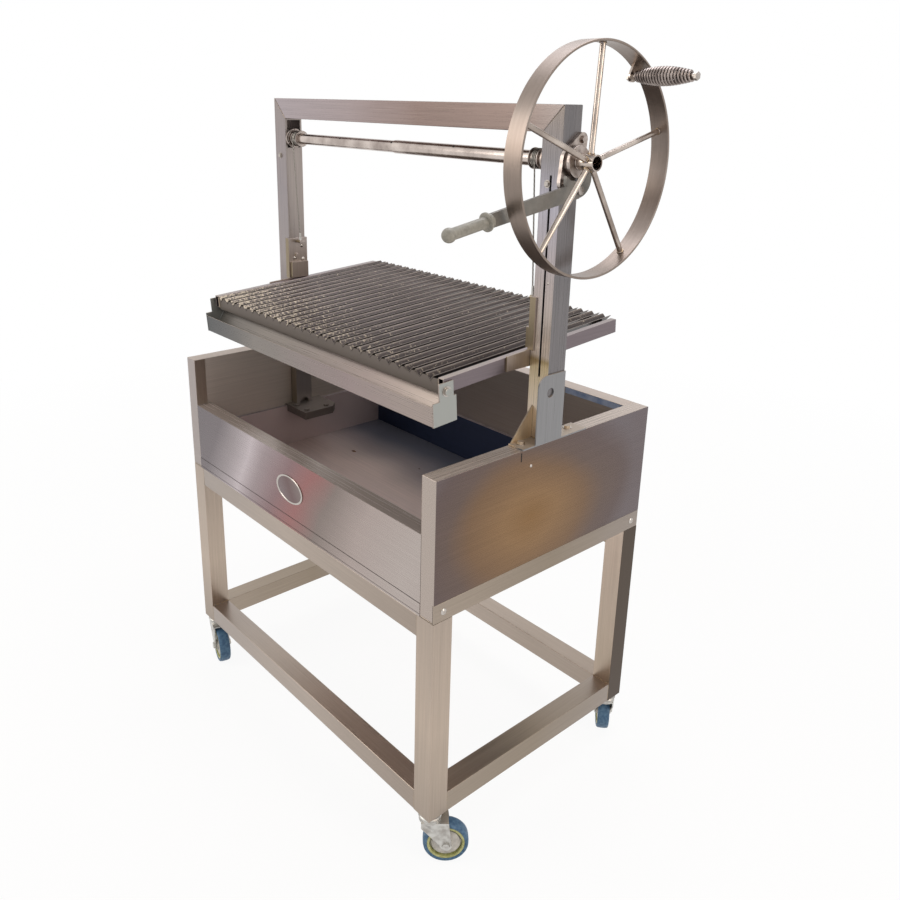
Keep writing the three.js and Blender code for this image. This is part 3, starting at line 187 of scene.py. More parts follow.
def brushed_steel(name, grain, bands, run=(0, 0, 1), start_mm=0, end_mm=1700, shine=0.3, side=None, front=None,
                  top=None, wander=0.1, streak=0.22, metal=1.0, grain_mm=2.4):
    """Brushed metal. The real grain is well under 1 mm and is drawn at 2.4 mm so that it shows. The bands are painted
    reflections: the colours that the metal would mirror along a direction, or outward from a middle where run is a
    middle and its reaches in mm. Faces that look sideways, frontward or up get a painted reflection of another part
    of the room."""
    made, tree, place = material(name)
    if len(run) == 3:
        along = node(tree, "VectorMath", {"operation": "DOT_PRODUCT", 1: run}, in_0=place)
        first, last = start_mm / 1000, end_mm / 1000
    else:
        heart, reach = run
        offset = node(tree, "VectorMath", {"operation": "SUBTRACT", 1: at(*heart)}, in_0=place)
        scaled = node(tree, "VectorMath", {"operation": "DIVIDE", 1: [r / 1000 for r in reach]}, in_0=offset)
        along = node(tree, "VectorMath", {"operation": "LENGTH"}, in_0=scaled)
        first, last = 0.0, 1.3
    clouds = node(tree, "TexNoise", {"Scale": 3.0, "Detail": 2.0, "Roughness": 0.45}, Vector=place)
    drift = node(tree, "MapRange", {"From Min": 0.3, "From Max": 0.7, "To Min": -wander, "To Max": wander},
                 Value=clouds)
    spot = node(tree, "MapRange", {"From Min": first, "From Max": last}, Value=along.outputs["Value"])
    moved = node(tree, "Math", {"operation": "ADD"}, in_0=spot, in_1=drift)
    colour = node(tree, "ValToRGB", {"stops": bands}, Fac=moved)

    # Painted reflection: faces that look sideways, frontward or up take their own tint, and upward ones are made less
    # metallic
    facing = node(tree, "SeparateXYZ", Vector=node(tree, "NewGeometry").outputs["Normal"])
    scatter = None
    for axis, tint in (("X", side), ("Y", front), ("Z", top)):
        if tint:
            toward = facing.outputs[axis]
            if axis != "Z":
                toward = node(tree, "Math", {"operation": "ABSOLUTE"}, in_0=toward)
            weight = node(tree, "MapRange", {"From Min": 0.4, "From Max": 0.85}, Value=toward)
            colour = node(tree, "Mix", {"data_type": "RGBA", 7: linear(tint)}, in_0=weight, in_6=colour).outputs[2]
            if axis == "Z":
                scatter = node(tree, "MapRange", {"To Min": metal, "To Max": 0.4 * metal}, Value=weight)

    fine = 1000 / grain_mm
    stretch = {"X": (fine / 90, fine, fine), "Y": (fine, fine / 90, fine), "Z": (fine, fine, fine / 90)}[grain]
    lines = node(tree, "Mapping", {"Scale": stretch}, Vector=place)
    brushing = node(tree, "TexNoise", {"Scale": 1.0, "Detail": 5.0, "Roughness": 0.7}, Vector=lines)
    end_on = node(tree, "Math", {"operation": "ABSOLUTE"}, in_0=facing.outputs[grain])
    # A cut end has no long grain, so the brushing fades to its middle level there
    length_on = node(tree, "MapRange", {"From Min": 0.4, "From Max": 0.8, "To Min": 1.0, "To Max": 0.1}, Value=end_on)
    level = node(tree, "Mix", {"data_type": "FLOAT", 2: 0.5}, in_0=length_on, in_3=brushing)
    shade = node(tree, "MapRange", {"From Min": 0.3, "From Max": 0.7, "To Min": 1 - streak, "To Max": 1.06},
                 Value=level)
    brushed = node(tree, "Mix", {"data_type": "RGBA", "blend_type": "MULTIPLY", 0: 1.0}, in_6=colour, in_7=shade)
    rough = node(tree, "MapRange", {"From Min": 0.25, "From Max": 0.75, "To Min": shine - 0.05, "To Max": shine + 0.08},
                 Value=level)
    bump = node(tree, "Bump", {"Strength": 0.1, "Distance": 0.0003}, Height=level)
    shader = node(tree, "BsdfPrincipled", {"Metallic": metal}, Base_Color=brushed.outputs[2],
                  Roughness=rough, Normal=bump)
    if scatter:
        tree.links.new(scatter.outputs[0], shader.inputs["Metallic"])
    node(tree, "OutputMaterial", Surface=shader)
    return made


def dress(names, finish, edge_mm, steps):
    """Gives CAD nodes their finish, and rounds the edges where faces meet at more than 30 degrees."""
    for name in names:
        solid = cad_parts[name]
        solid.data.materials.clear()
        solid.data.materials.append(finish)
        weld = solid.modifiers.new("weld", "WELD")
        weld.merge_threshold = 1e-5
        edges = solid.modifiers.new("rounded edges", "BEVEL")
        edges.width = edge_mm / 1000
        edges.segments = steps
        edges.limit_method = "ANGLE"
        edges.angle_limit = radians(30)
        edges.harden_normals = True


def at(x, y, z):
    """A place given in mm from the firebox's middle, in metres."""
    return Vector((x / 1000 + middle_x, y / 1000 + middle_y, z / 1000))


def swing(place, angle, axis, home=None):
    """A turn about a place in mm. What was built about another place, its home, is carried there first."""
    return Matrix.Translation(at(*place)) @ Matrix.Rotation(angle, 4, axis) @ Matrix.Translation(-at(*(home or place)))


def piece(name, bm, finish, body, stands_for=(), sharp=35, *, slot):
    """Makes an object of a mesh in the making, smooth but for its sharp edges, and lets it ride on its body."""
    bmesh.ops.remove_doubles(bm, verts=bm.verts, dist=2e-6)
    bmesh.ops.recalc_face_normals(bm, faces=bm.faces)
    for face in bm.faces:
        face.smooth = True
    for edge in bm.edges:
        edge.smooth = len(edge.link_faces) == 2 and edge.calc_face_angle() < radians(sharp)
    mesh = bpy.data.meshes.new(name)
    bm.to_mesh(mesh)
    bm.free()
    mesh.materials.append(finish)
    made = bpy.data.objects.new(name, mesh)
    bpy.context.scene.collection.objects.link(made)
    if stands_for:
        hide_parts(*stands_for)
    if body:
        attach(made, body)
    return made


def skin(bm, rings):
    """Joins each ring of corners to the next."""
    for first, second in zip(rings, rings[1:]):
        for i in range(len(first)):
            j = (i + 1) % len(first)
            bm.faces.new((first[i], first[j], second[j], second[i]))


def turn(bm, axis, centre, profile, steps):
    """Adds a turned form: the profile is radius and place along the axis, in mm, about a centre."""
    rings = []
    for radius, along in profile:
        ring = []
        for i in range(steps):
            angle = 2 * pi * (i + 0.5) / steps
            a, b = radius * cos(angle), radius * sin(angle)
            offset = {"X": (along, a, b), "Y": (a, along, b), "Z": (a, b, along)}[axis]
            ring.append(bm.verts.new(at(*(c + o for c, o in zip(centre, offset)))))
        rings.append(ring)
    skin(bm, rings)


def disc(bm, axis, centre, radius, low, high, steps):
    """Adds a plain round form: a washer, a pin or the hexagon of a bolt."""
    turn(bm, axis, centre, [(0, low), (radius, low), (radius, high), (0, high)], steps)


def rod_along(bm, points, radius, sides):
    """Adds a round bar or a bead along points in mm, and closes its ends. The radius may change along it."""
    places = [at(*p) for p in points]
    radii = radius if isinstance(radius, list) else [radius] * len(places)
    tangent = (places[1] - places[0]).normalized()
    out = tangent.orthogonal().normalized()
    rings = []
    for i, place in enumerate(places):
        ahead = places[min(i + 1, len(places) - 1)] - places[max(i - 1, 0)]
        out = (out - ahead.normalized() * out.dot(ahead.normalized())).normalized()
        across = ahead.normalized().cross(out)
        ring = []
        for k in range(sides):
            angle = 2 * pi * k / sides
            ring.append(bm.verts.new(place + (out * cos(angle) + across * sin(angle)) * radii[i] / 1000))
        rings.append(ring)
    skin(bm, rings)
    bm.faces.new(rings[0])
    bm.faces.new(rings[-1])


def weld_bead(bm, start, end, radius):
    """Adds a weld bead between two places: its ripples are the stacked puddles of a hand weld."""
    ripple_mm = 2.2
    length = (Vector(end) - Vector(start)).length
    count = max(4, int(2 * length / ripple_mm))
    points = [Vector(start).lerp(Vector(end), i / count) for i in range(count + 1)]
    rod_along(bm, points, [radius * (1.0 if i % 2 else 0.82) for i in range(count + 1)], 6)


def button_head(bm, axis, centre, radius, height, direction):
    """Adds a low round bolt head that stands on a face, along its axis or against it."""
    steps = 6
    profile = [(0, -0.5 * direction), (radius, -0.5 * direction), (radius, 0)]
    for i in range(1, steps + 1):
        angle = pi / 2 * i / steps
        profile.append((radius * cos(angle), direction * height * sin(angle)))
    turn(bm, axis, centre, profile, 24)


# Painted reflection: the tubes' colour bands run along their lengths; the back right leg's faces that look sideways
# carry painted shade
leg_steel = brushed_steel("brushed stainless tube, upright grain", "Z",
                          [(0.0, "#a39588"), (0.45, "#c0af9f"), (1.0, "#b4a598")],
                          start_mm=130, end_mm=610, shine=0.33, streak=0.16)
back_right_steel = brushed_steel("brushed stainless tube, dark to one side", "Z", [(0.0, "#b5a492"), (1.0, "#c6b5a7")],
                                 start_mm=130, end_mm=610, side="#55493f", shine=0.33, streak=0.16)
rail_steel = brushed_steel("brushed stainless tube, grain across", "X",
                           [(0.0, "#aba098"), (0.5, "#b5a79b"), (1.0, "#a4968a")],
                           run=(1, 0, 0), start_mm=-550, end_mm=400, shine=0.34, streak=0.16)
rail_steel_y = brushed_steel("brushed stainless tube, grain front to back", "Y",
                             [(0.0, "#a99b8d"), (0.5, "#998b7b"), (1.0, "#a1968e")], run=(0, 1, 0),
                             start_mm=-340, end_mm=300, shine=0.34, streak=0.16)
corner_names = ("front_left", "front_right", "back_left", "back_right")
dress(["leg_front_left", "leg_front_right", "leg_back_left"], leg_steel, 2.0, 3)
dress(["leg_back_right"], back_right_steel, 2.0, 3)
dress(["low_rail_front", "low_rail_back", "top_rail_front", "top_rail_back"], rail_steel, 2.0, 3)
dress(["low_rail_left", "low_rail_right", "side_angle_left", "side_angle_right"], rail_steel_y, 1.2, 3)


def mottled(name, per_metre, detail, tones, rough, metal=0.0, relief=None):
    """A finish whose tone wanders in spots, counted per metre. Its relief is a bump's strength and height in mm."""
    made, tree, place = material(name)
    spots = node(tree, "TexNoise", {"Scale": per_metre, "Detail": detail}, Vector=place)
    tint = node(tree, "ValToRGB", {"stops": tones}, Fac=spots)
    shader = node(tree, "BsdfPrincipled", {"Metallic": metal, "Roughness": rough}, Base_Color=tint)
    if relief:
        skin = node(tree, "Bump", {"Strength": relief[0], "Distance": relief[1] / 1000}, Height=spots)
        tree.links.new(skin.outputs[0], shader.inputs["Normal"])
    node(tree, "OutputMaterial", Surface=shader)
    return made


weld_metal = mottled("ground weld, straw and blue heat tint", 160.0, 2.0,
                     [(0.3, "#8a7a6a"), (0.52, "#b39f80"), (0.72, "#8c8a9a")], 0.38, metal=1.0)

box_half_x, box_half_y, tube = 500, 325, 50
leg_foot, low_rail_top, top_rail_foot, box_bottom = 127, 177, 558, 608
corner_weld, butt_weld, cap_weld = 1.5, 0.8, 1.2
bm = bmesh.new()
for side in (-1, 1):
    for end in (-1, 1):
        inner_x, inner_y = side * (box_half_x - tube), end * (box_half_y - tube)
        outer_x, outer_y = side * (box_half_x - 0.6), end * (box_half_y - 0.6)
        for low, high in ((leg_foot, low_rail_top), (top_rail_foot, box_bottom)):
            weld_bead(bm, (inner_x, inner_y, low + 2), (inner_x, inner_y, high - 2), corner_weld)
            weld_bead(bm, (inner_x, outer_y, low + 3), (inner_x, outer_y, high - 3), butt_weld)
            weld_bead(bm, (inner_x, outer_y, high), (inner_x, inner_y, high), cap_weld)
        weld_bead(bm, (outer_x, inner_y, leg_foot + 3), (outer_x, inner_y, low_rail_top - 3), butt_weld)
        weld_bead(bm, (outer_x, inner_y, low_rail_top), (inner_x, inner_y, low_rail_top), cap_weld)
piece("stand_welds", bm, weld_metal, "frame", slot="steel")

bolt_steel = brushed_steel("turned stainless bolts", "X", [(0.0, "#c9c3bd"), (1.0, "#b3aba4")], shine=0.24, streak=0.1)
bm = bmesh.new()
dome_inset, dome_z, dome_radius, dome_height = 26, 629, 7.4, 3.46
for side in (-1, 1):
    for end in (-1, 1):
        place = (side * box_half_x, end * (box_half_y - dome_inset), dome_z)
        button_head(bm, "X", place, dome_radius, dome_height, side)
piece("angle_bolts", bm, bolt_steel, "frame", slot="bright_steel")

# Castors: swivel castors of 100 mm, with pressed and zinc-plated forks, and blue elastic tyres moulded on
# green-yellow nylon rims. The zinc is matt and faintly spangled, and the tyre has a satin skin.

zinc, tree, place = material("zinc plating, bright passivated")
spangle = node(tree, "TexVoronoi", {"Scale": 220.0}, Vector=place)
rough = node(tree, "MapRange", {"To Min": 0.28, "To Max": 0.44}, Value=spangle.outputs["Distance"])
grime = node(tree, "TexNoise", {"Scale": 60.0, "Detail": 4.0}, Vector=place)
tint = node(tree, "ValToRGB", {"stops": [(0.35, "#a39e98"), (0.6, "#c9c7c2")]}, Fac=grime)
shader = node(tree, "BsdfPrincipled", {"Metallic": 1.0}, Base_Color=tint, Roughness=rough)
node(tree, "OutputMaterial", Surface=shader)

tyre_rubber = mottled("blue elastic rubber, moulded", 140.0, 3.0, [(0.35, "#35597a"), (0.65, "#527694")], 0.5,
                      relief=(0.15, 0.3))
rim_nylon = mottled("green-yellow nylon, moulded", 90.0, 3.0, [(0.35, "#a3a565"), (0.65, "#c3c58c")], 0.42)
web_nylon = mottled("grey nylon, moulded", 70.0, 3.0, [(0.35, "#b3b1ac"), (0.65, "#d1cfca")], 0.4)

wheel_radius, wheel_trail, rim_radius, groove_radius = 50, 35, 41, 35.2
plate_bolt_orbit, plate_bolt_radius, plate_z = 17, 4.2, 126.7
swivel_degrees = {"front_right": 50, "front_left": -15, "back_right": 131, "back_left": 35}
tread = [(rim_radius - 0.5, 13.2), (43.0, 14.4), (45.4, 15.0), (47.4, 14.2), (48.9, 12.0), (49.6, 8.0), (49.85, 3.0)]
tread_profile = tread + [(r, -y) for r, y in reversed(tread)]
rim_side = [(groove_radius, 5.0), (groove_radius + 0.6, 13.2), (groove_radius + 1.6, 14.0), (rim_radius - 0.8, 14.0),
            (rim_radius, 13.2)]
rim_profile = rim_side + [(r, -y) for r, y in reversed(rim_side)] + [rim_side[0]]
hub_side = [(0, 17.4), (6.0, 17.4), (9.0, 17.0), (12.5, 17.0), (14.0, 15.5), (15.0, 12.2), (29.5, 11.4),
            (31.4, 10.2), (32.0, 5.5), (groove_radius, 5.0)]
hub_profile = hub_side + [(r, -y) for r, y in reversed(hub_side)]
for corner in corner_names:
    end_name, side_name = corner.split("_")
    x = (box_half_x - tube / 2) * (1 if side_name == "right" else -1)
    y = (box_half_y - tube / 2) * (1 if end_name == "back" else -1)
    swivelled = swing((x, y, 0), radians(swivel_degrees[corner]), "Z")
    hub = (x + wheel_trail, y, wheel_radius)
    for name, profile, finish in (("tyre", tread_profile, tyre_rubber), ("rim", rim_profile, rim_nylon),
                                  ("wheel_web", hub_profile, web_nylon)):
        bm = bmesh.new()
        turn(bm, "Y", hub, profile, 64)
        bm.transform(swivelled)
        stands_for = (f"caster_wheel_{corner}",) if name == "tyre" else ()
        piece(f"{name}_{corner}", bm, finish, f"wheel_{corner}", stands_for, slot="tyre")
    bm = bmesh.new()
    turn(bm, "Z", (x, y, 0), [(22.4, 116.2), (24.6, 117.2), (25.4, 119.0), (24.4, 121.0), (22.9, 122.0)], 40)
    for k in range(4):
        angle = pi / 4 + k * pi / 2
        bolt = (x + plate_bolt_orbit * cos(angle), y + plate_bolt_orbit * sin(angle), plate_z)
        disc(bm, "Z", bolt, plate_bolt_radius, -4.5, -1.2, 6)
    piece(f"swivel_race_{corner}", bm, zinc, "frame", slot="zinc")
    dress([f"caster_head_{corner}", f"caster_fork_{corner}"], zinc, 0.8, 2)

# Firebox: walls folded from 1.5 mm brushed sheet, double-skinned, a low front panel, a plain floor and a lining. The
# big panels carry painted reflections of the room in broad bands, gold-brown in the right one, and the duller inside
# carries painted reflection and shade.

# Painted reflection: the right panel is gold-brown about the middle of its side and turns grey-lilac outward, with
# lighter tints on its front and top faces; the left panel and the back have their own painted bands
wall_right_steel = brushed_steel(
    "brushed stainless sheet, right panel", "Y",
    [(0.0, "#8b6a47"), (0.25, "#917253"), (0.48, "#806650"), (0.64, "#6f5f58"), (0.8, "#6b5d5a"), (1.0, "#756c6e")],
    run=((500, -60, 760), (400, 270, 195)), front="#b4a79e", top="#b9aba0", shine=0.26, wander=0.09, streak=0.12)
wall_left_steel = brushed_steel(
    "brushed stainless sheet, left panel", "Y", [(0.0, "#c9beb5"), (0.6, "#bdb2a9"), (1.0, "#a7a09c")],
    run=(0, 1, 0), start_mm=-340, end_mm=300, front="#aca3a0", top="#b9aba0", shine=0.42, streak=0.14, metal=0.62)
back_steel = brushed_steel(
    "brushed stainless sheet, back", "X", [(0.0, "#9a9190"), (0.5, "#8e8580"), (1.0, "#b0a398")], run=(1, 0, 0),
    start_mm=-550, end_mm=400, top="#b9aba0", shine=0.4, streak=0.14, metal=0.6)
# Painted reflection: slanting bands, dark at the left end and light at the right, with a red patch by the badge that is
# the painted reflection of something red
front_steel = brushed_steel(
    "brushed stainless sheet, front panel", "X",
    [(0.0, "#6a6365"), (0.19, "#756c6e"), (0.27, "#9a9091"), (0.36, "#c0b4b6"), (0.44, "#9c8d8e"), (0.54, "#8a6f70"),
     (0.62, "#996a67"), (0.70, "#877a74"), (0.84, "#ad9f99"), (1.0, "#b6aba5")],
    run=(1, 0, -0.55), start_mm=-1048, end_mm=-48, top="#a79a92", shine=0.24, wander=0.03, streak=0.1)
# Painted reflection and shade: the floor runs from a dark navy at the back to a light pinkish beige at the front, and
# its faces that look to the front take a set tint
floor_steel = brushed_steel(
    "dull stainless floor, painted reflection and shade", "X", [(0.1, "#5b5c66"), (0.32, "#8d8381"), (0.58, "#d0bcb5"), (1.0, "#dac7c0")],
    run=(0, -1, 0), start_mm=-230, end_mm=200, front="#b4a9a3", shine=0.46, streak=0.2, metal=0.4)
# Painted reflection and shade: the lining is blue and dark navy at the back and lighter at the front, pale on faces
# that look sideways and deep navy on faces that look to the front
liner_steel = brushed_steel(
    "stainless lining, painted reflection and shade", "X", [(0.0, "#5a6078"), (0.4, "#3b435a"), (0.7, "#4a4850"), (1.0, "#8a807c")],
    run=(0, -1, 0), start_mm=-280, end_mm=330, side="#c3b3b2", front="#2c3752", top="#94888a", shine=0.44,
    wander=0.16, streak=0.2, metal=0.6)
# The foot plate is given a darker tone than the walls
foot_steel = brushed_steel("dark stainless foot plate", "X", [(0.0, "#6f6762"), (1.0, "#8b827b")], top="#7b726c",
                           shine=0.4, metal=0.8)
dress(["wall_right"], wall_right_steel, 1.0, 2)
dress(["wall_left"], wall_left_steel, 1.0, 2)
dress(["wall_back"], back_steel, 1.0, 2)
dress(["front_panel"], front_steel, 1.0, 2)
dress(["floor_tray"], floor_steel, 0.6, 2)
dress(["lower_liner"], liner_steel, 0.6, 2)
dress(["foot_plate_left", "foot_plate_right"], foot_steel, 0.8, 2)

shadow_gap = mottled("open slot, unlit inside", 300.0, 2.0, [(0.3, "#0d0b0a"), (0.7, "#1b1816")], 0.9)


def block(bm, low, high):
    """Adds a block between two corners in mm."""
    x0, y0, z0 = low
    x1, y1, z1 = high
    v = [bm.verts.new(at(x, y, z)) for z in (z0, z1) for y in (y0, y1) for x in (x0, x1)]
    for quad in ((0, 1, 3, 2), (4, 6, 7, 5), (0, 4, 5, 1), (2, 3, 7, 6), (0, 2, 6, 4), (1, 5, 7, 3)):
        bm.faces.new([v[i] for i in quad])


# Painted shade: dark blocks stand for the shade in an upright slit in the right wall, and for the dark ground of the
# groove that runs across the apron
slit_back, slit_front, slit_low, slit_high = -97.4, -100.2, 889, 908
apron_half, apron_skin, apron_low, groove_low, groove_high, apron_high = 459.4, 0.6, 608.4, 613.4, 614.6, 637
bm = bmesh.new()
block(bm, (box_half_x - 0.5, slit_front, slit_low), (box_half_x + 0.12, slit_back, slit_high))
block(bm, (-459, -box_half_y - 0.05, apron_low + 0.2), (459, -box_half_y + 0.4, apron_high + 0.8))
piece("panel_slots", bm, shadow_gap, "frame", slot="inner_steel")
bm = bmesh.new()
for low, high in ((apron_low, groove_low), (groove_high, apron_high)):
    block(bm, (-apron_half, -box_half_y - apron_skin, low), (apron_half, -box_half_y, high))
piece("apron_face", bm, front_steel, "frame", slot="steel")
bm = bmesh.new()
button_head(bm, "X", (box_half_x, -69, 873), 3.4, 1.4, 1)
piece("panel_rivet", bm, bolt_steel, "frame", slot="bright_steel")
bm = bmesh.new()
inner_face, return_width, front_panel_top, box_top = 460, 30, 788, 912
for side in (-1, 1):
    block(bm, (side * inner_face, -box_half_y + 0.5, front_panel_top + 0.5),
          (side * (inner_face - 0.6), -box_half_y + return_width, box_top - 0.6))
piece("wall_returns", bm, leg_steel, "frame", slot="steel")

blue_film = mottled("blue protective film, polyethylene", 45.0, 3.0, [(0.35, "#8fa6cf"), (0.65, "#bccbe6")], 0.25,
                    relief=(0.3, 0.5))
bm = bmesh.new()
back_inner_y = 285
block(bm, (286, back_inner_y - 0.2, 896.5), (inner_face - 1, back_inner_y + 0.1, box_top - 1.2))
piece("film_strip", bm, blue_film, "frame", slot="inner_steel")

scale_crust = mottled("flake of mill scale and rust", 400.0, 4.0, [(0.35, "#2e2118"), (0.65, "#7a5a3c")], 0.85)
# A flake's foot is just in the floor tray's top face, so that it lies on the sheet
floor_top, flake_seat, flake_height, flake_corners = 610.3, 0.1, 1.6, 10
bm = bmesh.new()
for flake_x, flake_y, size in ((-288, 62, 9), (152, -81, 6), (-76, 128, 3.5)):
    rim = []
    for k in range(flake_corners):
        angle = 2 * pi * k / flake_corners
        long_reach, short_reach = size * (1 + 0.35 * sin(2.3 * k)), 0.55 * size * (1 + 0.3 * cos(1.7 * k))
        rim.append(bm.verts.new(at(flake_x + long_reach * cos(angle), flake_y + short_reach * sin(angle),
                                   floor_top - flake_seat)))
    crown = bm.verts.new(at(flake_x, flake_y, floor_top + flake_height))
    for k in range(flake_corners):
        bm.faces.new((rim[k], rim[(k + 1) % flake_corners], crown))
piece("scale_flakes", bm, scale_crust, "frame", slot="inner_steel")

badge_steel = brushed_steel("satin oval plate", "X", [(0.0, "#86797a"), (0.5, "#75605f"), (1.0, "#8d827e")],
                            run=(1, 0, 0.6), start_mm=280, end_mm=400, streak=0.12)
badge_x, badge_z, badge_half_width, badge_half_height = -8, 709, 55, 33.5
rim_rings = [(1.0, 0.0), (1.0, 1.3), (0.985, 1.9), (0.96, 2.2), (0.925, 2.15), (0.9, 1.7), (0.885, 1.0)]
field_rings = [(0.89, 0.9), (0.86, 0.95), (0.6, 1.1), (0.3, 1.15), (0.0, 1.2)]
centre = at(0, 0, 0)
for name, rings, finish in (("oval_plate", rim_rings, bolt_steel), ("oval_plate_field", field_rings, badge_steel)):
    bm = bmesh.new()
    turn(bm, "Y", (0, 0, 0), [(r * badge_half_height, -box_half_y - 0.3 - height) for r, height in rings], 72)
    for vert in bm.verts:
        vert.co.x = centre.x + (vert.co.x - centre.x) * badge_half_width / badge_half_height + badge_x / 1000
        vert.co.z += badge_z / 1000
    piece(name, bm, finish, "frame", ("badge_plate",) if name == "oval_plate" else (), slot="bright_steel")

# Lift frame: the same 50 mm tube, mitred at the top corners, with a guide channel inside the box and brackets
# bolted to the walls. The front faces carry a painted reflection of a lilac sky and the sides a painted grey one, in
# long upright streaks.

# Painted reflection: the right post's bands, with a narrow tan and brown band where its front mirrors the rail, and
# darker grey sides
post_right_steel = brushed_steel(
    "brushed stainless post, right", "Z",
    [(0.0, "#e0cfb8"), (0.28, "#dccbb6"), (0.385, "#c9b58f"), (0.4, "#a8946c"), (0.415, "#d8cdc2"), (0.45, "#cbbeb2"),
     (0.6, "#b8adab"), (0.78, "#b3b0bb"), (0.88, "#8b8789"), (1.0, "#857b74")],
    start_mm=760, end_mm=1570, side="#7d7a7c", top="#8d8683", shine=0.28, wander=0.01, streak=0.24, metal=0.6)
post_left_steel = brushed_steel(
    "brushed stainless post, left", "Z", [(0.0, "#a0937f"), (0.4, "#8f8583"), (0.55, "#a39a98"), (0.8, "#9c9496"),
                                          (1.0, "#a09592")],
    start_mm=760, end_mm=1570, side="#a59b96", top="#8d8683", wander=0.12, streak=0.2, metal=0.75)
beam_steel = brushed_steel(
    "brushed stainless beam", "X",
    [(0.0, "#aca1a3"), (0.35, "#a59796"), (0.6, "#8f7c75"), (0.85, "#86766f"), (1.0, "#8a807c")],
    run=(1, 0, 0), start_mm=-580, end_mm=410, side="#7a7578", top="#9a918d", shine=0.28, wander=0.06, streak=0.12)
# Painted reflection and light: the right bracket's gusset is a bright gold, lighter than the shade it stands in, and
# its ear plate a grey reflection; the left bracket has its own greyer copy
bracket_steel = brushed_steel(
    "brushed stainless plate", "Z", [(0.5, "#eed6b4"), (0.8, "#8e8f92")], run=(1, 0, 0), start_mm=360, end_mm=412,
    top="#b3a596", shine=0.32, wander=0.0, streak=0.16, metal=0.5)
dress(["lift_beam"], beam_steel, 1.6, 3)
dress(["post_left"], post_left_steel, 1.2, 3)
dress(["post_right"], post_right_steel, 1.2, 3)
bracket_left_steel = brushed_steel(
    "brushed stainless plate, left", "Z", [(0.0, "#a39a92"), (0.5, "#95908c"), (1.0, "#a09a96")], start_mm=912,
    end_mm=1058, top="#b3a596", shine=0.32, streak=0.16, metal=0.7)
dress(["post_bracket_left"], bracket_left_steel, 0.8, 2)
dress(["post_bracket_right"], bracket_steel, 0.8, 2)

post_y, post_outer_x, post_inner_x, post_top, bracket_z = -7, 498.2, 448.2, 1570, 912.3
post_front_y, post_back_y = post_y - tube / 2, post_y + tube / 2
gusset_x, gusset_top, front_tail, back_tail = 461.5, 984, 64, 80
bm = bmesh.new()
for side in (-1, 1):
    weld_bead(bm, (side * (post_outer_x - 1), post_front_y + 0.3, post_top - 2),
              (side * (post_inner_x + 0.5), post_front_y + 0.3, post_top - tube + 0.5), 0.45)
    weld_bead(bm, (side * post_inner_x, post_front_y + 2, post_top - tube),
              (side * post_inner_x, post_back_y - 2, post_top - tube), 1.3)
    weld_bead(bm, (side * post_inner_x, post_front_y - 0.3, bracket_z + 3.4),
              (side * (post_outer_x - 1), post_front_y - 0.3, bracket_z + 3.4), 1.5)
    weld_bead(bm, (side * gusset_x, post_front_y - 1.2, bracket_z + 5),
              (side * gusset_x, post_front_y - 1.2, gusset_top), 1.2)
piece("frame_welds", bm, weld_metal, "frame", slot="steel")

bm = bmesh.new()
for x, z in ((-476, 1425), (467, 1427)):
    disc(bm, "Y", (x, post_front_y, z), 7.5, 0.3, -1.0, 32)
    turn(bm, "Y", (x, post_front_y, z), [(0, -1.0), (5.6, -1.0), (5.6, -3.9), (4.9, -4.6), (0, -4.6)], 6)
button_head(bm, "Y", (484, post_front_y, 1240), 2.6, 1.2, -1)
for side in (-1, 1):
    for y in (post_front_y - 0.7 * front_tail, post_back_y + 0.62 * back_tail):
        disc(bm, "Z", (side * 475, y, bracket_z + 3), 9.5, 0, 1.2, 32)
piece("frame_bolts", bm, bolt_steel, "frame", slot="bright_steel")

# Lift: a polished pipe shaft with a sleeve over its driven half, turning in flanged bearings, with a cable drum at
# each end and a folded carriage on each post. The shaft is drawn and polished, and mirrors the room along it.


def polished_steel(name, light, dark, shine, marks=14.0):
    """Drawn and polished stainless: a near mirror, with faint marks from handling."""
    made, tree, place = material(name)
    marking = node(tree, "TexNoise", {"Scale": marks, "Detail": 4.0, "Roughness": 0.6}, Vector=place)
    tint = node(tree, "ValToRGB", {"stops": [(0.35, dark), (0.62, light)]}, Fac=marking)
    rough = node(tree, "MapRange", {"From Min": 0.3, "From Max": 0.7, "To Min": shine, "To Max": shine + 0.09},
                 Value=marking)
    shader = node(tree, "BsdfPrincipled", {"Metallic": 1.0}, Base_Color=tint, Roughness=rough)
    node(tree, "OutputMaterial", Surface=shader)
    return made


shaft_steel = polished_steel("drawn and polished stainless pipe", "#cfc3bb", "#a3968f", 0.14)
cast_steel = polished_steel("cast bearing steel, plated", "#bdb2ab", "#8b7f78", 0.3, 60.0)

shaft_z, shaft_radius, shaft_bore, sleeve_radius = 1470, 13.45, 10.85, 15.05
shaft_start, shaft_end, sleeve_start, sleeve_end = -475.2, 560, -16, 522.7
shaft_axis = (0, post_y, shaft_z)
bm = bmesh.new()
turn(bm, "X", shaft_axis, [
    (shaft_bore, shaft_start), (shaft_radius - 0.6, shaft_start), (shaft_radius, shaft_start + 0.6),
    (shaft_radius, sleeve_start), (sleeve_radius - 0.5, sleeve_start), (sleeve_radius, sleeve_start + 0.5),
    (sleeve_radius, sleeve_end - 0.4), (sleeve_radius - 0.4, sleeve_end), (shaft_radius, sleeve_end),
    (shaft_radius, shaft_end - 0.3), (shaft_radius - 0.3, shaft_end), (12.5, shaft_end), (12.3, shaft_end - 60),
    (shaft_bore, shaft_end - 60.5), (shaft_bore, shaft_start)], 64)
piece("shaft_pipe", bm, shaft_steel, "shaft", ("lift_shaft",), slot="bright_steel")
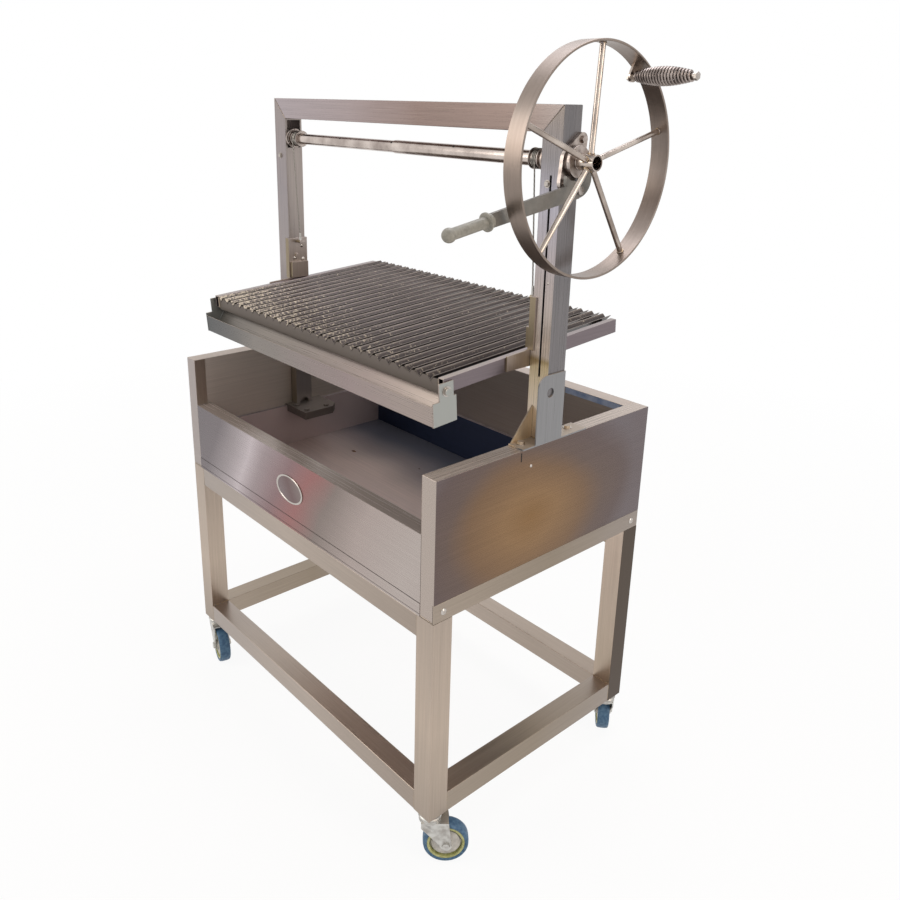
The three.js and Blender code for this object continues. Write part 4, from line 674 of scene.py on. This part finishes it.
# The pins' ends are dark dots of painted shade
bm = bmesh.new()
pin_radius, pin_stand = 2.6, 0.25
for x in (-224.1, -22.4, 188.2):
    surface = shaft_radius if x < sleeve_start else sleeve_radius
    for end in (-1, 1):
        disc(bm, "Z", (x, post_y, shaft_z), pin_radius, end * (surface - 2), end * (surface + pin_stand), 16)
bm.transform(swing(shaft_axis, radians(45), "X"))
piece("shaft_pins", bm, shadow_gap, "shaft", slot="bright_steel")

drum_x, drum_half, cheek, cheek_radius, core_radius = 420, 12, 2.5, 20.5, 16.6
bearing_face = post_inner_x - 6.3
for name, side in (("left", -1), ("right", 1)):
    seat = shaft_radius if side < 0 else sleeve_radius
    bm = bmesh.new()
    centre = (side * drum_x, post_y, shaft_z)
    flange = [(seat + 0.3, -drum_half), (cheek_radius - 0.6, -drum_half), (cheek_radius, -drum_half + 0.6),
              (cheek_radius, -drum_half + cheek - 0.6), (cheek_radius - 0.6, -drum_half + cheek),
              (core_radius, -drum_half + cheek)]
    turn(bm, "X", centre, flange + [(r, -x) for r, x in reversed(flange)] + [flange[0]], 56)
    piece(f"drum_{name}_turned", bm, cast_steel, "shaft", (f"drum_{name}",), slot="bright_steel")
    bm = bmesh.new()
    inner = side * bearing_face
    face = [(seat + 0.4, 0), (19.5, 0), (20.3, 0.8), (23.8, 0.8), (25, 2), (25, 6), (18, 6), (18, 31), (seat + 0.4, 31),
            (seat + 0.4, 0)]
    turn(bm, "X", (inner, post_y, shaft_z), [(r, side * x) for r, x in face], 56)
    for k in range(3):
        angle = radians(90 + 120 * k)
        screw = (inner + side * 0.8, post_y + 22.1 * cos(angle), shaft_z + 22.1 * sin(angle))
        button_head(bm, "X", screw, 1.7, 1.0, -side)
    piece(f"bearing_{name}_flanged", bm, cast_steel, "frame", (f"bearing_{name}",), slot="bright_steel")

cable_wire, tree, place = material("stranded steel cable")
lay = node(tree, "Mapping", {"Rotation": (0.7, 0.5, 0.0)}, Vector=place)
# The strands are 0.4 mm thick, and are drawn 3.2 mm apart so that they show. A wave of scale 1 is 0.314 m long.
strands = node(tree, "TexWave", {"Scale": 99.5223, "Distortion": 0.4}, Vector=lay)
tint = node(tree, "ValToRGB", {"stops": [(0.2, "#6a655f"), (0.8, "#aaa49c")]}, Fac=strands.outputs["Fac"])
bump = node(tree, "Bump", {"Strength": 0.5, "Distance": 0.0003}, Height=strands.outputs["Fac"])
shader = node(tree, "BsdfPrincipled", {"Metallic": 1.0, "Roughness": 0.4}, Base_Color=tint, Normal=bump)
node(tree, "OutputMaterial", Surface=shader)

cable_radius, cable_pitch, winding_turns, winding_radius, cable_foot = 1.5, 3.7, 3, 18.4, 1205.3
wound = winding_turns * cable_pitch / 2
anchor_y = post_y - 3
for name, side in (("left", -1), ("right", 1)):
    route = []
    hanging_steps, turn_steps = 30, 40
    top_y = post_y - winding_radius
    for i in range(hanging_steps):
        share_up = i / hanging_steps
        route.append((side * (drum_x + wound), anchor_y + (top_y - anchor_y) * share_up,
                      cable_foot + (shaft_z - cable_foot) * share_up))
    for i in range(winding_turns * turn_steps + 1):
        angle = pi - 2 * pi * i / turn_steps
        share_on = i / (winding_turns * turn_steps)
        route.append((side * (drum_x + wound - 2 * wound * share_on), post_y + winding_radius * cos(angle),
                      shaft_z + winding_radius * sin(angle)))
    bm = bmesh.new()
    rod_along(bm, route, cable_radius, 10)
    cable = piece(f"cable_{name}_stranded", bm, cable_wire, None, (f"cable_{name}",), sharp=60, slot="cable")
    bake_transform(cable)
    bm = bmesh.new()
    cable_x = side * (drum_x + wound)
    rod_along(bm, [(cable_x, anchor_y, cable_foot - 1), (cable_x, anchor_y, cable_foot + 3),
                   (cable_x, anchor_y - 0.3, cable_foot + 18)], [2.9, 2.9, 2.4], 16)
    piece(f"cable_{name}_ferrule", bm, zinc, "cradle", slot="zinc")

carriage_steel = brushed_steel(
    "brushed stainless carriage plate", "Z", [(0.0, "#988a80"), (0.6, "#aa9c92"), (1.0, "#b5aaa4")], start_mm=1060,
    end_mm=1210, front="#94866f", streak=0.14, metal=0.7)
dress(["carriage_left", "carriage_right"], carriage_steel, 0.8, 2)
bm = bmesh.new()
carriage_face = 443.6
for side in (-1, 1):
    for y, z in ((5, 1186), (-17, 1154), (8, 1149), (-1, 1128)):
        button_head(bm, "X", (side * carriage_face, y, z), 5.6, 3.0, -side)
piece("carriage_bolts", bm, bolt_steel, "cradle", slot="bright_steel")

# Cradle: box rails, V-shaped grate bars folded from 1.8 mm sheet and welded side by side, and the drip gutter. The
# bars' lips carry a painted highlight, and their troughs painted shade, dark brown to near black.

tilt = radians(4.2)
grate_z = 1099.6
plane_mm = cos(tilt) * grate_z - sin(tilt) * (post_y + middle_y * 1000)
# Painted shade and highlight: each bar runs from near black at the bottom of its trough to light at its lip
bar_steel = brushed_steel(
    "stainless bars, painted lip highlight and trough shade", "Y",
    [(0.0, "#120f0e"), (0.25, "#221e1d"), (0.45, "#403836"), (0.85, "#514845"), (0.97, "#7d726a")],
    run=(0, -sin(tilt), cos(tilt)), start_mm=plane_mm - 12.5, end_mm=plane_mm + 0.2, front="#7a7068",
    shine=0.4, wander=0.08, streak=0.45, grain_mm=3.0, metal=0.65)
tree = bar_steel.node_tree
shader = next(made for made in tree.nodes if made.type == "BSDF_PRINCIPLED")
trough_shade_and_lip_highlight = shader.inputs["Base Color"].links[0].from_socket
place = node(tree, "TexCoord").outputs["Object"]
from_front = node(tree, "VectorMath", {"operation": "DOT_PRODUCT", 1: (0.25, 1, 0)}, in_0=place)
# Light flecks, 3 to 6 mm wide, lie only on the bars' upward faces, thickest along the front and most of all at its left
# corner: a painted highlight, broken into specks
flecks = node(tree, "TexNoise", {"Scale": 1000 / 6, "Detail": 3.0, "Roughness": 0.6}, Vector=place)
front_left_highlight = node(tree, "MapRange", {"From Min": -0.42, "From Max": -0.12, "To Min": 0.15, "To Max": -0.09},
            Value=from_front.outputs["Value"])
thick = node(tree, "Math", {"operation": "ADD"}, in_0=flecks, in_1=front_left_highlight)
cover = node(tree, "MapRange", {"From Min": 0.54, "From Max": 0.64, "To Max": 0.7}, Value=thick)
facing = node(tree, "SeparateXYZ", Vector=node(tree, "NewGeometry").outputs["Normal"])
upward = node(tree, "MapRange", {"From Min": 0.05, "From Max": 0.4}, Value=facing.outputs["Z"])
lit_upper_faces = node(tree, "Math", {"operation": "MULTIPLY"}, in_0=cover, in_1=upward)
flecked = node(tree, "Mix", {"data_type": "RGBA", 7: linear("#b5a893")}, in_0=lit_upper_faces, in_6=trough_shade_and_lip_highlight)
tree.links.new(flecked.outputs[2], shader.inputs["Base Color"])
# Painted reflection: the cradle rails' sideways faces are darker, and the gutter runs from a dark reflection at its
# left end to light at the right, with pale painted highlights on its end plates
cradle_rail_steel = brushed_steel(
    "brushed stainless cradle rail", "Y", [(0.0, "#a99c92"), (0.5, "#8f8384"), (1.0, "#9a8f8c")], run=(0, 1, 0),
    start_mm=-300, end_mm=260, side="#7f7477", streak=0.16)
gutter_steel = brushed_steel(
    "brushed stainless gutter", "X",
    [(0.0, "#454748"), (0.14, "#5c5b5a"), (0.3, "#87807a"), (0.7, "#998987"), (1.0, "#a79a92")],
    run=(1, 0, 0), start_mm=-560, end_mm=380, side="#a6a8a4", top="#a89c90", shine=0.28, wander=0.08, streak=0.12,
    metal=0.7)
dress(["grate"], bar_steel, 0.35, 1)
dress(["cradle_rail_left", "cradle_rail_right"], cradle_rail_steel, 0.8, 2)
dress(["drip_gutter"], gutter_steel, 0.7, 2)

gutter_end, ear_y, ear_z, rail_front = 446.3, -252, -24, -256
cradle_turn = swing((0, post_y, grate_z), tilt, "X", home=(0, 0, 0))
bm = bmesh.new()
for side in (-1, 1):
    disc(bm, "X", (side * gutter_end, ear_y, ear_z), 10.5, 0, side * 1.4, 32)
    turn(bm, "X", (side * gutter_end, ear_y, ear_z),
         [(0, side * 6), (6.4, side * 6), (7.4, side * 5.6), (7.7, side * 1.4), (0, side * 1.4)], 24)
bm.transform(cradle_turn)
piece("gutter_bolts", bm, bolt_steel, "cradle", slot="bright_steel")
# A dark block of painted shade stands for the slot in the gutter's sloping side
bm = bmesh.new()
slope_x, slope_y, slope_z, slope_lean = -420, -246, -61, atan2(38, 51.5)
block(bm, (-2.2, -0.4, -7), (2.2, 0.4, 7))
bm.transform(swing((slope_x, slope_y, slope_z), -slope_lean, "X", home=(0, 0, 0)))
bm.transform(cradle_turn)
piece("gutter_slot", bm, shadow_gap, "cradle", slot="inner_steel")
bm = bmesh.new()
for side in (-1, 1):
    for x, y, low, high, radius in ((427.6, rail_front + 1.2, -29, -3, 1.2), (440.2, -284.6, -86, -50, 0.9)):
        weld_bead(bm, (side * x, y, low), (side * x, y, high), radius)
bm.transform(cradle_turn)
piece("cradle_welds", bm, weld_metal, "cradle", slot="steel")

# Hand wheel: 40 x 4.5 mm flat bar rolled to a circle of 420 mm, with five 11 mm round spokes welded to it and to
# the tube hub. The flat bar is brushed along its length, so its streaks run round the wheel.

band_steel, tree, place = material("brushed flat bar, rolled")
offset = node(tree, "VectorMath", {"operation": "SUBTRACT", 1: at(*shaft_axis)}, in_0=place)
parts = node(tree, "SeparateXYZ", Vector=offset)
angle_round = node(tree, "Math", {"operation": "ARCTAN2"}, in_0=parts.outputs["Z"], in_1=parts.outputs["Y"])
across = node(tree, "Math", {"operation": "COSINE"}, in_0=angle_round)
upward = node(tree, "Math", {"operation": "SINE"}, in_0=angle_round)
circle = node(tree, "CombineXYZ", X=across, Y=upward)
# Soft light and dark stretches follow each other round the wheel
stretches = node(tree, "TexNoise", {"Scale": 1.7, "Detail": 1.5}, Vector=circle)
tones = [(0.3, "#877a71"), (0.5, "#8f8279"), (0.7, "#9f938b")]
tint = node(tree, "ValToRGB", {"stops": tones}, Fac=stretches)
# The real brushing is well under 1 mm, and is drawn at 4.8 mm so that it shows
unrolled = node(tree, "CombineXYZ", X=parts.outputs["X"], Y=angle_round)
fine_lines = node(tree, "Mapping", {"Scale": (1000 / 4.8, 3.0, 1.0)}, Vector=unrolled)
brushing = node(tree, "TexNoise", {"Scale": 1.0, "Detail": 4.0, "Roughness": 0.7}, Vector=fine_lines)
shade = node(tree, "MapRange", {"From Min": 0.3, "From Max": 0.7, "To Min": 0.88, "To Max": 1.05}, Value=brushing)
brushed = node(tree, "Mix", {"data_type": "RGBA", "blend_type": "MULTIPLY", 0: 1.0}, in_6=tint, in_7=shade)
shader = node(tree, "BsdfPrincipled", {"Metallic": 1.0, "Roughness": 0.37}, Base_Color=brushed.outputs[2])
node(tree, "OutputMaterial", Surface=shader)

spoke_steel = polished_steel("bright round bar", "#c6bab0", "#94877e", 0.2)

wheel_outer, band_thick, band_low, band_high, spoke_x, spoke_radius = 210, 4.5, 529, 569, 545, 5.5
hub_start, hub_end, spokes, spoke_first, ripples = 523, 561, 5, 87, 24
wheel_inner = wheel_outer - band_thick
edge = 0.9
bm = bmesh.new()
turn(bm, "X", shaft_axis, [
    (wheel_inner, band_low + edge), (wheel_inner + edge, band_low), (wheel_outer - edge, band_low),
    (wheel_outer, band_low + edge), (wheel_outer, band_high - edge), (wheel_outer - edge, band_high),
    (wheel_inner + edge, band_high), (wheel_inner, band_high - edge), (wheel_inner, band_low + edge)], 192)
piece("wheel_band", bm, band_steel, "shaft", ("hand_wheel",), slot="steel")
bm = bmesh.new()
turn(bm, "X", shaft_axis, [
    (shaft_radius + 0.3, hub_start), (sleeve_radius - 0.4, hub_start), (sleeve_radius, hub_start + 0.4),
    (sleeve_radius, hub_end - 0.5), (sleeve_radius - 0.5, hub_end), (shaft_radius + 0.3, hub_end),
    (shaft_radius + 0.3, hub_start)], 64)
spoke_welds = bmesh.new()
for i in range(spokes):
    angle = radians(spoke_first + 360 / spokes * i)
    out_y, out_z = cos(angle), sin(angle)
    rod_along(bm, [(spoke_x, post_y + r * out_y, shaft_z + r * out_z)
                   for r in (sleeve_radius - 1, 60, 120, wheel_inner + 0.5)], spoke_radius, 24)
    # A weld's ripples run round the spoke, where it meets the hub and the band
    for r in (sleeve_radius + 1.2, wheel_inner - 1.0):
        ring = []
        for k in range(ripples + 1):
            spin = 2 * pi * k / ripples
            out, round_it = spoke_radius * cos(spin), spoke_radius * sin(spin)
            ring.append((spoke_x + out, post_y + r * out_y - round_it * out_z, shaft_z + r * out_z + round_it * out_y))
        rod_along(spoke_welds, ring, [1.5 if k % 2 else 1.2 for k in range(ripples + 1)], 6)
piece("wheel_spokes", bm, spoke_steel, "shaft", slot="steel")
piece("spoke_welds", spoke_welds, weld_metal, "shaft", slot="steel")

grip_angle, grip_orbit, lug_x, lug_half, lug_width, lug_nose = radians(54), 187, 540, 2.5, 13, 10.5
grip_y, grip_z = post_y + grip_orbit * cos(grip_angle), shaft_z + grip_orbit * sin(grip_angle)
outline = [(lug_width, wheel_inner + 0.5), (-lug_width, wheel_inner + 0.5)]
nose_steps = 12
for i in range(nose_steps + 1):
    angle = pi + pi * i / nose_steps
    outline.append((lug_nose * cos(angle), grip_orbit + lug_nose * sin(angle)))
bm = bmesh.new()
rings = [[bm.verts.new(at(x, post_y + a, shaft_z + b)) for a, b in outline]
         for x in (lug_x - lug_half, lug_x + lug_half)]
skin(bm, rings)
for ring in rings:
    bm.faces.new(ring)
bm.transform(swing(shaft_axis, grip_angle - pi / 2, "X"))
piece("grip_lug", bm, spoke_steel, "shaft", slot="steel")

spring_first, spring_last, spring_wire, spring_end_radius, spring_middle_radius = 547, 670, 4.6, 10, 17.5
head_back = lug_x - lug_half - 0.3
nut_start = spring_last + spring_wire / 2 + 0.3
bm = bmesh.new()
grip_axis = (0, grip_y, grip_z)
turn(bm, "X", grip_axis, [(0, head_back - 6), (7.6, head_back - 6), (9.0, head_back - 5.2), (9.0, head_back),
                          (0, head_back)], 6)
turn(bm, "X", grip_axis, [(0, head_back - 1), (5, head_back - 1), (5, nut_start + 6.4), (4.4, nut_start + 7),
                          (0, nut_start + 7)], 32)
turn(bm, "X", grip_axis, [(5, nut_start), (7.0, nut_start), (8.0, nut_start + 0.8), (8.0, nut_start + 5.4),
                          (7.0, nut_start + 6.2), (5, nut_start + 6.2)], 6)
piece("grip_bolt_turned", bm, bolt_steel, "shaft", ("grip_bolt",), slot="bright_steel")

spring_steel = polished_steel("bright coil spring wire", "#a89d97", "#6d625d", 0.2, 40.0)
curls, curl_steps = 19, 28
wire = spring_wire / 2
route = []
for i in range(curls * curl_steps + 1):
    share_on = i / (curls * curl_steps)
    angle = 2 * pi * i / curl_steps
    swell = (spring_end_radius - wire) + (spring_middle_radius - spring_end_radius) * sin(pi * share_on)
    route.append((spring_first + wire + (spring_last - spring_first - spring_wire) * share_on,
                  grip_y + swell * cos(angle), grip_z + swell * sin(angle)))
bm = bmesh.new()
rod_along(bm, route, wire, 12)
piece("grip_spring_coiled", bm, spring_steel, "spring_grip", ("grip_spring",), sharp=60, slot="bright_steel")

# Brake: a flanged outer bearing, a disc on the shaft's sleeve, and a lever whose weight presses the lining up to it.
# The lever is flat bar in a dull grey paint that shows the hand's wear, with a smooth moulded grip.

lever_paint, tree, place = material("grey-green hammered paint")
hammer = node(tree, "TexVoronoi", {"Scale": 1000 / 2.5}, Vector=place)
wear = node(tree, "TexNoise", {"Scale": 11.0, "Detail": 6.0, "Roughness": 0.7}, Vector=place)
tones = [(0.32, "#6a6863"), (0.5, "#7a7772"), (0.68, "#8c8883")]
tint = node(tree, "ValToRGB", {"stops": tones}, Fac=wear)
bump = node(tree, "Bump", {"Strength": 0.12, "Distance": 0.0003}, Height=hammer.outputs["Distance"])
shader = node(tree, "BsdfPrincipled", {"Roughness": 0.42, "Metallic": 0.35}, Base_Color=tint, Normal=bump)
node(tree, "OutputMaterial", Surface=shader)

grip_plastic = mottled("grey-green moulded grip", 120.0, 4.0, [(0.35, "#85837b"), (0.65, "#9a978e")], 0.5,
                       relief=(0.1, 0.2))
lining = mottled("moulded friction lining", 1000 / 1.2, 3.0, [(0.35, "#37332f"), (0.7, "#5c5650")], 0.85)

dress(["flange_bearing"], cast_steel, 1.2, 3)
dress(["brake_disc"], cast_steel, 0.4, 2)
dress(["lever_pivot_bolt"], bolt_steel, 0.5, 2)
dress(["brake_lever"], lever_paint, 0.9, 3)
dress(["brake_shoe"], lining, 0.4, 2)

pivot_y, pivot_z, lever_middle_x, lever_slope = -3, 1418, 516.5, radians(10)
grip_start, grip_length, grip_radius, ball_radius = -228, 98, 10.3, 12.9
ball = grip_start - grip_length
neck = acos(grip_radius / ball_radius)
ball_steps = 14
profile = [(0, ball - ball_radius)]
for i in range(1, ball_steps + 1):
    angle = -pi / 2 + (pi / 2 + neck) * i / ball_steps
    profile.append((ball_radius * cos(angle), ball + ball_radius * sin(angle)))
profile += [(grip_radius, grip_start - 13.8), (12.2, grip_start - 13.2), (16.2, grip_start - 13),
            (17, grip_start - 12.4), (17, grip_start - 9.6), (16.2, grip_start - 9), (12.5, grip_start - 8.6),
            (12.5, grip_start - 0.8), (11.7, grip_start), (0, grip_start)]
bm = bmesh.new()
turn(bm, "Y", (0, 0, 0), profile, 56)
bm.transform(swing((lever_middle_x, pivot_y, pivot_z), lever_slope, "X", home=(0, 0, 0)))
piece("lever_grip_moulded", bm, grip_plastic, "brake", ("lever_grip",), slot="grip")
